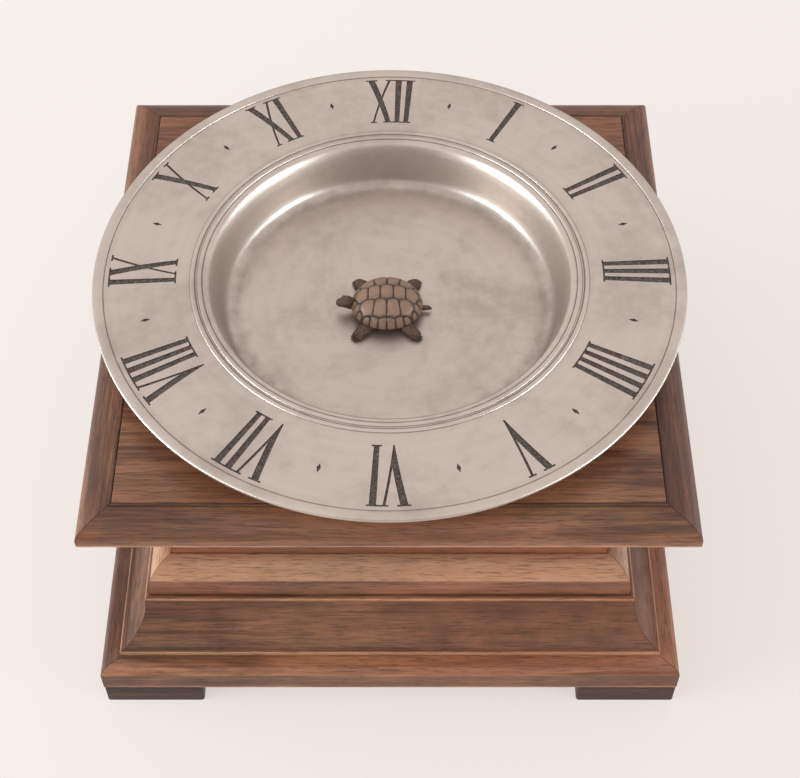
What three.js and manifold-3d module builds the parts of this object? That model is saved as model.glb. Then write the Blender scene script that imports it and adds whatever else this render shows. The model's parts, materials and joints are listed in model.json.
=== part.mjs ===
// A tortoise mystery clock: a pewter dish on a moulded square case of wood, a turtle that lies
// in the dish, and a spring movement inside the case whose magnet leads the turtle round.
// Millimetres, +Z up. The front faces -Y, XII on the dish is at +Y, and the table is at zero.
import * as THREE from 'three';
import { mergeVertices } from 'three/addons/utils/BufferGeometryUtils.js';
import Module from 'manifold-3d';

const wasm = await Module();
wasm.setup();

// Case of wood
const footHeight = 14.6;
const footLength = 52;
const footThickness = 22;
const plinthReach = 40.5;
const plinthHeight = 16.8;
const plinthRound = 4;
const bottomBoardThickness = 10;
const accessRadius = 62;
const waistHalf = 111;
const wallThickness = 9;
const plinthLedge = 9.9;
const coveHeadReach = 15.3;
const coveFillet = 3;
const coveRise = 29;
const ovoloReach = 12.6;
const ovoloHeadReach = 1.6;
const ovoloFillet = 4.4;
const ovoloRise = 16.7;
const topReach = 35;
const topEdgeWidth = 16.5;
const topBoardHeight = 159.8;
const topBoardThickness = 16.8;
const topEdgeDrop = 8.8;
const topEdgeBand = 4.4;
const topLip = 4.2;
const quirkDrop = 0.8;
const quirkWidth = 1.4;
const underCoveHeight = 18;
const underCoveInset = 1.4;
const underCoveToe = 2.4;
const underCoveFillet = 2;
const seatBoardThickness = 12;
const seatHoleGap = 2;
const seatChamfer = 5;

// Pewter dish
const dishRadius = 150;
const dishWall = 2.2;
const dishRise = 16.9;
const dishDepth = 25.7;
const rimBeadHeight = 1.1;
const rimBeadWidth = 5.4;
const shoulderRadius = 94;
const wellWidth = 13.4;
const reedHeight = 0.7;
const reedWidth = 2.4;
const reedGap = 1.2;

// Turtle
const turtlePlace = [-1.5, -6];
const turtleHeading = Math.PI;
const shellLength = 37;
const shellWidth = 33;
const shellHeight = 12;
const shellWall = 1.4;
const deckHeight = 4.6;
const bellyHeight = 1;
const headLength = 10;
const headWidth = 7.4;
const headHeight = 6.8;
const headReach = 21.5;
const headLift = 7.4;
const legLength = 14;
const legWidth = 7.6;
const legHeight = 6.4;
const legReach = 11.5;
const legSpread = 14.2;
const legTurn = 0.75;
const tailLength = 9;
const tailWidth = 3;
const turtleMagnetRadius = 5;
const turtleMagnetHeight = 1.6;

// Movement frame
const plateThickness = 2.5;
const bottomPlateRadius = 66;
const topPlateLedge = 8;
const pillarRadius = 3.4;
const pillarWaist = 2.2;
const pillarCollar = 3;
const pillarInset = 6.5;
const pillarTurns = [57, 140, 215, 325].map(THREE.MathUtils.degToRad);
const pivotRadius = 0.8;
const arborRadius = 1.2;

// Going train, with the wheels placed from the centre arbor outwards
const barrelTeeth = 48;
const centrePinionLeaves = 8;
const centreTeeth = 48;
const thirdPinionLeaves = 6;
const thirdTeeth = 45;
const fourthPinionLeaves = 6;
const fourthTeeth = 48;
const escapePinionLeaves = 6;
const barrelModule = 1.2;
const moduleStep = 0.1;
const centreModule = barrelModule - 2 * moduleStep;
const thirdModule = centreModule - moduleStep;
const fourthModule = thirdModule - moduleStep;
const barrelTurn = THREE.MathUtils.degToRad(-90);
const thirdTurn = THREE.MathUtils.degToRad(35);
const fourthTurn = THREE.MathUtils.degToRad(140);
const escapeTurn = THREE.MathUtils.degToRad(190);
const leverTurn = THREE.MathUtils.degToRad(215);
const barrelToothStep = 3.42;
const barrelDrumHeight = 18;
const barrelWall = 1.4;
const barrelRise = 2.5;
const windingArborRadius = 3;
const windingPivotRadius = 2.4;
const windingSquare = 4.2;
const mainspringTurns = 7;
const mainspringThickness = 0.7;
const mainspringOutset = 1;
const mainspringInset = 1.2;
const wheelThickness = 1.6;
const pinionLength = 6;
const centreWheelGap = 2.5;
const centreTubeGap = 2.4;
const fourthWheelDrop = 6;
const thirdWheelDrop = 5;
const escapeWheelDrop = 4;
const collarRadius = 3;

// Motion work and magnet
const cannonLeaves = 10;
const minuteTeeth = 30;
const minutePinionLeaves = 8;
const hourTeeth = 32;
const motionModule = 0.9;
const minuteTurn = THREE.MathUtils.degToRad(-20);
const motionHeight = 11.5;
const cannonHeight = 2.8;
const centreArborRadius = 1.5;
const hourPipeRadius = 3.2;
const magnetArmReach = 56;
const magnetArmTail = 24;
const magnetArmWidth = 8;
const magnetArmThickness = 2;
const magnetArmBoss = 7;
const magnetRadius = 8;
const magnetHeight = 5;
const magnetClearance = 1.2;

// Escapement
const escapeTeeth = 15;
const escapeRadius = 11;
const escapeToothHeight = 2.8;
const escapeToothShares = [[0, 0], [0.42, 1], [0.5, 1], [0.56, 0]];
const palletSpan = THREE.MathUtils.degToRad(30);
const palletClearance = 1.2;
const palletRadius = 1.1;
const leverWidth = 3;
const leverHubRadius = 1.9;
const leverLength = 15;
const forkOpening = 1.6;
const forkDepth = 3;
const balanceRadius = 16;
const balanceRimWidth = 2.4;
const balanceThickness = 2.2;
const balanceArmWidth = 2.6;
const balanceDrop = 7;
const rollerRadius = 3.6;
const rollerThickness = 1;
const impulsePinRadius = 0.5;
const hairspringTurns = 6;
const hairspringThickness = 0.35;
const hairspringHeight = 1;
const hairspringOuterRadius = 9;
const hairspringInnerRadius = 3;
const cockThickness = 2;
const cockWidth = 9;
const cockFootRadius = 5;
const cockGap = 1.2;
const cockTurn = THREE.MathUtils.degToRad(250);
const studRadius = 0.7;

// Winding and setting work, under the movement
const ratchetTeeth = 20;
const ratchetRadius = 10;
const ratchetToothHeight = 1.4;
const ratchetThickness = 1.8;
const ratchetDrop = 0.7;
const clickGap = 2.9;
const clickTurn = THREE.MathUtils.degToRad(20);
const clickHubRadius = 2.6;
const clickTipTurn = THREE.MathUtils.degToRad(-45);
const clickTipWidth = 1;
const clickInnerShare = 0.4;
const clickSpringThickness = 0.6;
const clickSpringBearing = 8;
const clickSpringReach = 9;
const clickSpringOffset = 6.5;
const clickSpringFoot = 2;
const keyStemRadius = 4.4;
const keyStemLength = 14;
const keyDrop = 9;
const keyWidth = 30;
const keyHeight = 17;
const keyThickness = 2.4;
const keyHoleRadius = 4;
const knobRadius = 9;
const knobHeight = 6.5;
const knobDrop = 9;

// Clearances
const seam = 0.2;
const runningGap = 0.3;
const endshake = 0.3;
const overrun = 2;
const weldDistance = 1e-4;

// Tooth outlines, as shares of the module for heights and of the pitch for widths
const wheelTipShare = 0.8;
const wheelRootShare = 1.15;
const wheelTipWidthShare = 0.14;
const wheelRootWidthShare = 0.44;
const leafTipShare = 0.7;
const leafRootShare = 1.15;
const leafTipWidthShare = 0.12;
const leafRootWidthShare = 0.4;

// Face counts
const dishFaces = 52;
const plateFaces = 36;
const turtleFaces = 18;
const limbFaces = 10;
const drumFaces = 32;
const holeFaces = 12;
const arborFaces = 10;
const arcSteps = 8;
const springSteps = 14;

// Half widths and radii that follow from the sizes above
const plinthHalf = waistHalf + plinthReach;
const coveFootHalf = plinthHalf - plinthLedge;
const coveHeadHalf = waistHalf + coveHeadReach;
const ovoloHalf = waistHalf + ovoloReach;
const ovoloHeadHalf = waistHalf + ovoloHeadReach;
const topHalf = waistHalf + topReach;
const topLipHalf = topHalf - topLip;
const panelHalf = topHalf - topEdgeWidth;
const underCoveHeadHalf = topLipHalf - underCoveInset;
const underCoveFootHalf = waistHalf + underCoveToe;
const seatHoleRadius = bottomPlateRadius + seatHoleGap;
const topPlateRadius = seatHoleRadius + topPlateLedge;
const pillarCircle = bottomPlateRadius - pillarInset;
const floorRadius = shoulderRadius - wellWidth;
const barrelRootRadius = (barrelTeeth / 2 - wheelRootShare) * barrelModule;
const barrelDrumRadius = barrelRootRadius - barrelToothStep;
const mainspringOuterRadius = barrelDrumRadius - barrelWall - mainspringOutset;
const mainspringInnerRadius = windingArborRadius + mainspringInset;
const escapeRootRadius = escapeRadius - escapeToothHeight;
const cockReach = balanceRadius + cockFootRadius + cockGap;
const ratchetRootRadius = ratchetRadius - ratchetToothHeight;
const clickDistance = ratchetRadius + clickHubRadius + clickGap;

// Heights that follow from the sizes above
const rimHeight = topBoardHeight + dishRise;
const floorHeight = rimHeight - dishDepth;
const plinthTop = footHeight + plinthHeight;
const topBoardBottom = topBoardHeight - topBoardThickness;
const wallFoot = footHeight + bottomBoardThickness + seam;
const dishUnderside = floorHeight - dishWall;
const magnetArmTop = dishUnderside - magnetClearance - magnetHeight;
const topPlateTop = magnetArmTop - magnetArmThickness - motionHeight;
const topPlateBottom = topPlateTop - plateThickness;
const centreWheelRise = barrelRise + barrelDrumHeight + centreWheelGap;
const fourthWheelRise = centreWheelRise - fourthWheelDrop;
const thirdWheelRise = fourthWheelRise - thirdWheelDrop;
const escapeWheelRise = thirdWheelRise - escapeWheelDrop;
const centreTubeRise = centreWheelRise + wheelThickness + collarRadius;
const plateSpacing = centreTubeRise + centreTubeGap;
const bottomPlateTop = topPlateBottom - plateSpacing;
const bottomPlateBottom = bottomPlateTop - plateThickness;
const minuteWheelLow = topPlateTop + endshake;
const hourWheelLow = topPlateTop + cannonHeight + 2 * endshake;
const minuteLeavesHigh = hourWheelLow + wheelThickness + endshake;
const balanceLow = bottomPlateBottom - balanceDrop;
const hairspringLow = balanceLow - 2 * endshake - 2 * hairspringHeight;
const balanceFloor = hairspringLow - hairspringHeight - cockThickness;
const rimFace = rimHeight - rimBeadHeight;

// Places of the arbors, seen from above
const meshDistance = (module, teeth, leaves) => (module * (teeth + leaves)) / 2;
const stepFrom = ([x, y], distance, turn) => [
  x + distance * Math.cos(turn),
  y + distance * Math.sin(turn),
];
const centre = [0, 0];
const barrelDistance = meshDistance(barrelModule, barrelTeeth, centrePinionLeaves);
const thirdDistance = meshDistance(centreModule, centreTeeth, thirdPinionLeaves);
const fourthDistance = meshDistance(thirdModule, thirdTeeth, fourthPinionLeaves);
const escapeDistance = meshDistance(fourthModule, fourthTeeth, escapePinionLeaves);
const minuteDistance = meshDistance(motionModule, minuteTeeth, cannonLeaves);
const barrelPlace = stepFrom(centre, barrelDistance, barrelTurn);
const thirdPlace = stepFrom(centre, thirdDistance, thirdTurn);
const fourthPlace = stepFrom(thirdPlace, fourthDistance, fourthTurn);
const escapePlace = stepFrom(fourthPlace, escapeDistance, escapeTurn);
const leverDistance = escapeRadius / Math.cos(palletSpan) + palletClearance / 2;
const leverPlace = stepFrom(escapePlace, leverDistance, leverTurn);
const balancePlace = stepFrom(leverPlace, leverLength, leverTurn);
const minutePlace = stepFrom(centre, minuteDistance, minuteTurn);
const clickPlace = stepFrom(barrelPlace, clickDistance, clickTurn);
const pillarPlaces = pillarTurns.map((turn) => stepFrom(centre, pillarCircle, turn));

// Finishes
const finish = (colour, roughness, metalness) =>
  new THREE.MeshStandardMaterial({ color: colour, roughness, metalness });
const walnut = finish(0x7d543e, 0.5, 0);
const walnutDark = finish(0x5f4436, 0.5, 0);
const pewter = finish(0xb8aaa0, 0.35, 1);
const turtleBrown = finish(0x85695a, 0.55, 0);
const brass = finish(0xc9a45c, 0.3, 1);
const steel = finish(0xa9abb0, 0.25, 1);
const blued = finish(0x39466b, 0.25, 1);
const magnetGrey = finish(0x77797c, 0.35, 1);

const clock = new THREE.Group();

// Solids from closed geometry, and back again
function solid(geometry) {
  const bare = geometry.index ? geometry.toNonIndexed() : geometry.clone();
  bare.deleteAttribute('normal');
  bare.deleteAttribute('uv');
  const merged = mergeVertices(bare, weldDistance);
  const mesh = new wasm.Mesh({
    numProp: 3,
    vertProperties: merged.getAttribute('position').array,
    triVerts: new Uint32Array(merged.index.array),
  });
  return new wasm.Manifold(mesh);
}

function geometryOf(shape) {
  const { vertProperties, triVerts, numProp } = shape.getMesh();
  const positions = new Float32Array(triVerts.length * 3);
  triVerts.forEach((vertex, corner) => {
    for (let axis = 0; axis < 3; axis += 1) {
      positions[corner * 3 + axis] = vertProperties[vertex * numProp + axis];
    }
  });
  const geometry = new THREE.BufferGeometry();
  geometry.setAttribute('position', new THREE.BufferAttribute(positions, 3));
  geometry.computeVertexNormals();
  return geometry;
}

function add(name, shape, material, place = centre, turn = 0) {
  const mesh = new THREE.Mesh(geometryOf(shape), material);
  mesh.name = name;
  mesh.position.set(place[0], place[1], 0);
  mesh.rotation.z = turn;
  clock.add(mesh);
}

const union = (first, ...others) => others.reduce((whole, other) => whole.add(other), first);
const without = (first, ...others) => others.reduce((whole, other) => whole.subtract(other), first);

// Outlines
const outlineShape = (points) => new THREE.Shape(points.map(([x, y]) => new THREE.Vector2(x, y)));

function circlePoints(radius, faces, [x, y] = centre) {
  return Array.from({ length: faces }, (_, i) => stepFrom([x, y], radius, (2 * Math.PI * i) / faces));
}

function rectanglePoints(halfLength, halfWidth, [x, y] = centre) {
  return [
    [x - halfLength, y - halfWidth],
    [x + halfLength, y - halfWidth],
    [x + halfLength, y + halfWidth],
    [x - halfLength, y + halfWidth],
  ];
}

// The four corners of a straight bar between two points
function barPoints([x0, y0], [x1, y1], width) {
  const across = Math.atan2(y1 - y0, x1 - x0) + Math.PI / 2;
  return [
    stepFrom([x0, y0], -width / 2, across),
    stepFrom([x1, y1], -width / 2, across),
    stepFrom([x1, y1], width / 2, across),
    stepFrom([x0, y0], width / 2, across),
  ];
}

// Points of an arc of an ellipse about a centre, from one turn to another
function arcPoints([x, y], halfWidth, halfHeight, from, to, steps = arcSteps) {
  return Array.from({ length: steps + 1 }, (_, i) => {
    const turn = from + ((to - from) * i) / steps;
    return [x + halfWidth * Math.cos(turn), y + halfHeight * Math.sin(turn)];
  });
}

// An upright solid of one outline, from its low height to its high one
function prism(points, low, high) {
  const settings = { depth: high - low, bevelEnabled: false };
  const geometry = new THREE.ExtrudeGeometry(outlineShape(points), settings);
  geometry.translate(0, 0, low);
  return solid(geometry);
}

const cylinder = (radius, low, high, faces = arborFaces, place = centre) =>
  prism(circlePoints(radius, faces, place), low, high);

// A turned solid from a profile of radius and height that runs up its outside
function turned(profile, faces) {
  const geometry = new THREE.LatheGeometry(profile.map(([r, z]) => new THREE.Vector2(r, z)), faces);
  geometry.rotateX(Math.PI / 2);
  return solid(geometry);
}

// A ball stretched to three half sizes
function ellipsoid(halfX, halfY, halfZ, [x, y, z], faces, turn = 0) {
  const geometry = new THREE.SphereGeometry(1, faces, faces / 2);
  geometry.scale(halfX, halfY, halfZ);
  geometry.rotateZ(turn);
  geometry.translate(x, y, z);
  return solid(geometry);
}

// A front strip of the case with its ends cut at the mitre, from a section of half width and height
function mitredStrip(section) {
  const cut = seam / Math.SQRT2;
  const left = section.map(([half, z]) => [cut - half, -half, z]);
  const right = section.map(([half, z]) => [half - cut, -half, z]);
  const count = section.length;
  const flat = section.map(([half, z]) => new THREE.Vector2(half, z));
  const cap = THREE.ShapeUtils.triangulateShape(flat, []);
  const corners = [];
  cap.forEach(([a, b, c]) => corners.push(a, b, c, a + count, c + count, b + count));
  section.forEach((_, i) => {
    const next = (i + 1) % count;
    corners.push(i, next + count, next, i, i + count, next + count);
  });
  const geometry = new THREE.BufferGeometry();
  geometry.setAttribute('position', new THREE.Float32BufferAttribute([...left, ...right].flat(), 3));
  geometry.setIndex(corners);
  return solid(geometry);
}

const sides = ['front', 'right', 'back', 'left'];

// The same strip on all four sides of the case
function addFrame(name, section, material) {
  const strip = mitredStrip(section);
  sides.forEach((side, i) => add(`${name}_${side}`, strip, material, centre, (i * Math.PI) / 2));
}

// Gear outlines: each tooth is a slim stub, so that meshing wheels keep backlash all the way round
function gearPoints(teeth, tip, root, tipWidth, rootWidth, phase) {
  const points = [];
  const pitch = (2 * Math.PI) / teeth;
  for (let i = 0; i < teeth; i += 1) {
    const turn = phase + i * pitch;
    points.push(stepFrom(centre, root, turn - (rootWidth * pitch) / 2));
    points.push(stepFrom(centre, tip, turn - (tipWidth * pitch) / 2));
    points.push(stepFrom(centre, tip, turn + (tipWidth * pitch) / 2));
    points.push(stepFrom(centre, root, turn + (rootWidth * pitch) / 2));
  }
  return points;
}

function wheelPoints(teeth, module, phase) {
  const pitchRadius = (teeth * module) / 2;
  const tip = pitchRadius + wheelTipShare * module;
  const root = pitchRadius - wheelRootShare * module;
  return gearPoints(teeth, tip, root, wheelTipWidthShare, wheelRootWidthShare, phase);
}

// A pinion's phase turns a gap towards the wheel that it meshes with
function pinionPoints(leaves, module, wheelDirection) {
  const pitchRadius = (leaves * module) / 2;
  const tip = pitchRadius + leafTipShare * module;
  const root = pitchRadius - leafRootShare * module;
  const phase = wheelDirection + Math.PI / leaves;
  return gearPoints(leaves, tip, root, leafTipWidthShare, leafRootWidthShare, phase);
}

// Cuts between the spokes of a wheel
function crossings(innerRadius, outerRadius, spokes, spokeWidth, low, high) {
  return Array.from({ length: spokes }, (_, i) => {
    const inset = (radius) => Math.asin(spokeWidth / 2 / radius);
    const start = (2 * Math.PI * i) / spokes;
    const end = start + (2 * Math.PI) / spokes;
    const arc = (radius, from, to, steps) => arcPoints(centre, radius, radius, from, to, steps);
    const outer = arc(outerRadius, start + inset(outerRadius), end - inset(outerRadius), 4);
    const inner = arc(innerRadius, end - inset(innerRadius), start + inset(innerRadius), 2);
    return prism([...outer, ...inner], low - overrun, high + overrun);
  });
}

function spokedWheel(teeth, module, phase, low) {
  const high = low + wheelThickness;
  const rim = (teeth * module) / 2 - wheelRootShare * module - 2 * module;
  const plain = prism(wheelPoints(teeth, module, phase), low, high);
  return without(plain, ...crossings(collarRadius + module, rim, 4, 2 * module, low, high));
}

// An arbor between the plates, with a pivot in each of them
function plateArbor() {
  const low = bottomPlateTop + endshake;
  const high = topPlateBottom - endshake;
  return turned([
    [0, bottomPlateBottom],
    [pivotRadius, bottomPlateBottom],
    [pivotRadius, low],
    [arborRadius, low],
    [arborRadius, high],
    [pivotRadius, high],
    [pivotRadius, topPlateTop],
    [0, topPlateTop],
  ], arborFaces);
}

// A flat spiral strip
function spiral(outerRadius, innerRadius, turns, thickness, low, high, startTurn) {
  const steps = turns * springSteps;
  const at = (i, offset) => {
    const radius = outerRadius + ((innerRadius - outerRadius) * i) / steps + offset;
    return stepFrom(centre, radius, startTurn + (2 * Math.PI * i) / springSteps);
  };
  const outer = Array.from({ length: steps + 1 }, (_, i) => at(i, thickness / 2));
  const inner = Array.from({ length: steps + 1 }, (_, i) => at(i, -thickness / 2));
  return prism([...outer, ...inner.reverse()], low, high);
}

// Case

function addFeet() {
  const high = footHeight - seam;
  const inside = plinthHalf - footThickness;
  const end = plinthHalf - footLength;
  const outline = [
    [-plinthHalf, -plinthHalf],
    [-end, -plinthHalf],
    [-end, -inside],
    [-inside, -inside],
    [-inside, -end],
    [-plinthHalf, -end],
  ];
  const foot = prism(outline, 0, high);
  const corners = ['front_left', 'front_right', 'back_right', 'back_left'];
  corners.forEach((corner, i) => add(`foot_${corner}`, foot, walnutDark, centre, (i * Math.PI) / 2));
}

function addPlinth() {
  const inner = waistHalf + seam;
  const roundCentre = [plinthHalf - plinthRound, plinthTop - plinthRound];
  const round = arcPoints(roundCentre, plinthRound, plinthRound, 0, Math.PI / 2, 5);
  const foot = [[inner, footHeight], [plinthHalf, footHeight]];
  addFrame('plinth_rail', [...foot, ...round, [inner, plinthTop]], walnut);
  const boardTop = footHeight + bottomBoardThickness;
  const board = prism(rectanglePoints(waistHalf, waistHalf), footHeight, boardTop);
  const access = cylinder(accessRadius, 0, plinthTop, plateFaces);
  add('bottom_board', without(board, access), walnut);
}

function addWalls() {
  const inner = waistHalf - wallThickness;
  const high = topBoardBottom - seam;
  addFrame('wall', [[inner, wallFoot], [waistHalf, wallFoot], [waistHalf, high], [inner, high]], walnut);
}

function addBaseMoulding() {
  const low = plinthTop + seam;
  const coveLow = low + coveFillet;
  const ledge = coveLow + coveRise;
  const ovoloLow = ledge + ovoloFillet;
  const inner = waistHalf + seam;
  const coveRun = coveFootHalf - coveHeadHalf;
  const ovoloRun = ovoloHalf - ovoloHeadHalf;
  const cove = arcPoints([coveFootHalf, ledge], coveRun, coveRise, 1.5 * Math.PI, Math.PI);
  const ovolo = arcPoints([ovoloHeadHalf, ovoloLow], ovoloRun, ovoloRise, 0, Math.PI / 2);
  addFrame('base_moulding', [
    [inner, low],
    [coveFootHalf, low],
    ...cove,
    [ovoloHalf, ledge],
    ...ovolo,
    [inner, ovoloLow + ovoloRise],
  ], walnut);
}

function addUnderCove() {
  const high = topBoardBottom - seam;
  const low = high - underCoveHeight;
  const rise = underCoveHeight - underCoveFillet;
  const inner = waistHalf + seam;
  const run = underCoveHeadHalf - underCoveFootHalf;
  const cove = arcPoints([underCoveHeadHalf, low], run, rise, Math.PI, Math.PI / 2);
  const section = [[inner, low], ...cove, [underCoveHeadHalf, high], [inner, high]];
  addFrame('cove_moulding', section, walnut);
}

function addTop() {
  const inner = panelHalf + seam;
  const edge = topBoardHeight - topEdgeDrop;
  const ovoloHead = inner + quirkWidth;
  const edgeRise = topEdgeDrop - quirkDrop;
  const ovolo = arcPoints([ovoloHead, edge], topHalf - ovoloHead, edgeRise, 0, Math.PI / 2);
  addFrame('top_moulding', [
    [inner, topBoardBottom],
    [topLipHalf, topBoardBottom],
    [topHalf, edge - topEdgeBand],
    ...ovolo,
    [ovoloHead, topBoardHeight],
    [inner, topBoardHeight],
  ], walnut);
  const throatHeight = topBoardHeight - seatChamfer;
  const throatRadius = dishOuterRadius(throatHeight) + runningGap;
  const mouthRadius = dishOuterRadius(topBoardHeight) + runningGap;
  const hole = turned([
    [0, topBoardBottom - overrun],
    [throatRadius, topBoardBottom - overrun],
    [throatRadius, throatHeight],
    [mouthRadius, topBoardHeight],
    [mouthRadius, topBoardHeight + overrun],
    [0, topBoardHeight + overrun],
  ], dishFaces);
  const board = prism(rectanglePoints(panelHalf, panelHalf), topBoardBottom, topBoardHeight);
  add('top_board', without(board, hole), walnut);
}

function addSeatBoard() {
  const half = waistHalf - wallThickness - seam;
  const high = topPlateBottom - seam;
  const board = prism(rectanglePoints(half, half), high - seatBoardThickness, high);
  const hole = cylinder(seatHoleRadius, high - seatBoardThickness - overrun, high + overrun, plateFaces);
  add('seat_board', without(board, hole), walnut);
}

// Dish

// The well's inside as shares: out from the floor's edge to the shoulder, up from the floor to the rim
const wellShares = [
  [-0.12, 0],
  [0.13, 0.02],
  [0.3, 0.09],
  [0.43, 0.22],
  [0.56, 0.47],
  [0.66, 0.7],
  [0.76, 0.87],
  [0.87, 0.97],
  [1, 1],
];

function wellProfile() {
  const height = rimFace - floorHeight;
  return wellShares.map(([out, up]) => [floorRadius + out * wellWidth, floorHeight + up * height]);
}

function dishTopProfile() {
  const reed = (start) => [
    [start, rimFace],
    [start + reedWidth / 2, rimFace + reedHeight],
    [start + reedWidth, rimFace],
  ];
  const firstReed = reed(shoulderRadius + reedGap);
  const secondReed = reed(shoulderRadius + 2 * reedGap + reedWidth);
  const beadStart = dishRadius - rimBeadWidth;
  const beadMiddle = rimHeight - dishWall;
  const bead = [
    [beadStart, rimFace],
    [beadStart + rimBeadHeight, rimHeight],
    [dishRadius - rimBeadHeight, rimHeight],
    [dishRadius, beadMiddle],
  ];
  return [[0, floorHeight], ...wellProfile(), ...firstReed, ...secondReed, ...bead];
}

// The underside of the well, set off from its inside by the wall
function dishUnderProfile() {
  const path = wellProfile();
  return path.map(([r, z], i) => {
    const [r0, z0] = path[Math.max(i - 1, 0)];
    const [r1, z1] = path[Math.min(i + 1, path.length - 1)];
    const run = Math.hypot(r1 - r0, z1 - z0);
    const level = i === 0 || i === path.length - 1;
    const outwards = level ? 0 : (z1 - z0) / run;
    const downwards = level ? 1 : (r1 - r0) / run;
    return [r + outwards * dishWall, z - downwards * dishWall];
  });
}

// The outside radius of the well at a height
function dishOuterRadius(height) {
  const path = dishUnderProfile();
  const i = path.findIndex(([, z]) => z >= height);
  const [r0, z0] = path[i - 1];
  const [r1, z1] = path[i];
  return r0 + ((r1 - r0) * (height - z0)) / (z1 - z0);
}

function addDish() {
  const edge = [dishRadius - rimBeadHeight, rimFace - dishWall];
  const under = [[0, dishUnderside], ...dishUnderProfile(), edge];
  add('dish', turned([...under, ...dishTopProfile().reverse()], dishFaces), pewter);
}

// Turtle, built facing +X about its own middle and then turned to its heading

function turtleBody(base, deck, belly) {
  const half = [shellLength / 2, shellWidth / 2];
  const above = prism(rectanglePoints(shellLength, shellLength), base, deck);
  const hull = ellipsoid(...half, deckHeight - bellyHeight, [0, 0, deck], turtleFaces).intersect(above);
  const headPlace = [headReach, 0, base + headLift];
  const head = ellipsoid(headLength / 2, headWidth / 2, headHeight / 2, headPlace, limbFaces);
  const neckPlace = [headReach - headLength / 2, 0, deck];
  const neck = ellipsoid(headLength / 2, headWidth / 3, headHeight / 3, neckPlace, limbFaces);
  const legs = [[1, 1], [1, -1], [-1, 1], [-1, -1]].map(([ahead, beside]) => {
    const place = [ahead * legReach, beside * legSpread, base + legHeight / 3];
    const turn = ahead * beside * legTurn;
    return ellipsoid(legLength / 2, legWidth / 2, legHeight / 2, place, limbFaces, turn);
  });
  const tailPlace = [-shellLength / 2, 0, belly + tailWidth / 2];
  const tail = ellipsoid(tailLength / 2, tailWidth / 2, tailWidth / 2, tailPlace, limbFaces);
  return union(hull, head, neck, ...legs, tail);
}

// The upper half of the shell's form, grown outwards by a margin
function shellForm(margin, low) {
  const half = [shellLength / 2 + margin, shellWidth / 2 + margin, shellHeight + margin];
  const above = prism(rectanglePoints(shellLength, shellLength), low, low + 2 * shellHeight);
  return ellipsoid(...half, [0, 0, low], turtleFaces).intersect(above);
}

function addTurtle() {
  const base = floorHeight + seam;
  const deck = base + deckHeight;
  const belly = base + bellyHeight;
  const magnetHigh = belly + turtleMagnetHeight;
  const room = prism(rectanglePoints(dishRadius, dishRadius), base, deck + shellHeight);
  const pocket = cylinder(turtleMagnetRadius + seam, base - overrun, magnetHigh + seam, holeFaces);
  const whole = turtleBody(base, deck, belly).intersect(room);
  const body = without(whole, shellForm(seam, deck), pocket);
  add('turtle_body', body, turtleBrown, turtlePlace, turtleHeading);
  const shell = without(shellForm(0, deck + seam), shellForm(-shellWall, deck + seam));
  add('turtle_shell', shell, turtleBrown, turtlePlace, turtleHeading);
  const magnet = cylinder(turtleMagnetRadius, belly, magnetHigh, holeFaces);
  add('turtle_magnet', magnet, magnetGrey, turtlePlace, turtleHeading);
}

// Movement frame

function addPlates() {
  const pivotHole = (place, radius) =>
    cylinder(radius + runningGap, bottomPlateBottom - overrun, topPlateTop + overrun, holeFaces, place);
  const shared = [
    pivotHole(centre, centreArborRadius),
    pivotHole(barrelPlace, windingPivotRadius),
    ...[thirdPlace, fourthPlace, escapePlace, leverPlace].map((place) => pivotHole(place, pivotRadius)),
  ];
  const top = cylinder(topPlateRadius, topPlateBottom, topPlateTop, plateFaces);
  const balanceHole = pivotHole(balancePlace, pivotRadius);
  const minuteStud = cylinder(arborRadius, topPlateBottom, minuteLeavesHigh, holeFaces, minutePlace);
  add('top_plate', union(without(top, ...shared, balanceHole), minuteStud), brass);
  const bottom = cylinder(bottomPlateRadius, bottomPlateBottom, bottomPlateTop, plateFaces);
  const staffHole = pivotHole(balancePlace, rollerRadius);
  const clickLow = bottomPlateBottom - ratchetDrop - ratchetThickness - seam;
  const clickStud = cylinder(arborRadius, clickLow, bottomPlateTop, holeFaces, clickPlace);
  add('bottom_plate', union(without(bottom, ...shared, staffHole), clickStud), brass);
}

function addPillars() {
  const low = bottomPlateTop + seam;
  const high = topPlateBottom - seam;
  const pillar = turned([
    [0, low],
    [pillarRadius, low],
    [pillarRadius, low + pillarCollar],
    [pillarWaist, low + 2 * pillarCollar],
    [pillarWaist, high - 2 * pillarCollar],
    [pillarRadius, high - pillarCollar],
    [pillarRadius, high],
    [0, high],
  ], holeFaces);
  pillarPlaces.forEach((place, i) => add(`pillar_${i + 1}`, pillar, brass, place));
}

// Winding work: barrel, mainspring, arbor, ratchet, click and key

function addBarrel() {
  const low = bottomPlateTop + barrelRise;
  const high = low + barrelDrumHeight;
  const bore = windingArborRadius + runningGap;
  const toothHigh = low + 2 * wheelThickness;
  const teeth = prism(wheelPoints(barrelTeeth, barrelModule, barrelTurn + Math.PI), low, toothHigh);
  const drum = cylinder(barrelDrumRadius, low, high, drumFaces);
  const room = cylinder(barrelDrumRadius - barrelWall, low + barrelWall, high - barrelWall, drumFaces);
  const hole = cylinder(bore, low - overrun, high + overrun, holeFaces);
  add('barrel', without(union(teeth, drum), room, hole), brass, barrelPlace);
  const springLow = low + barrelWall + endshake;
  const springHigh = high - barrelWall - endshake;
  const spring = spiral(mainspringOuterRadius, mainspringInnerRadius, mainspringTurns,
    mainspringThickness, springLow, springHigh, 0);
  add('mainspring', spring, steel, barrelPlace);
}

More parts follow.
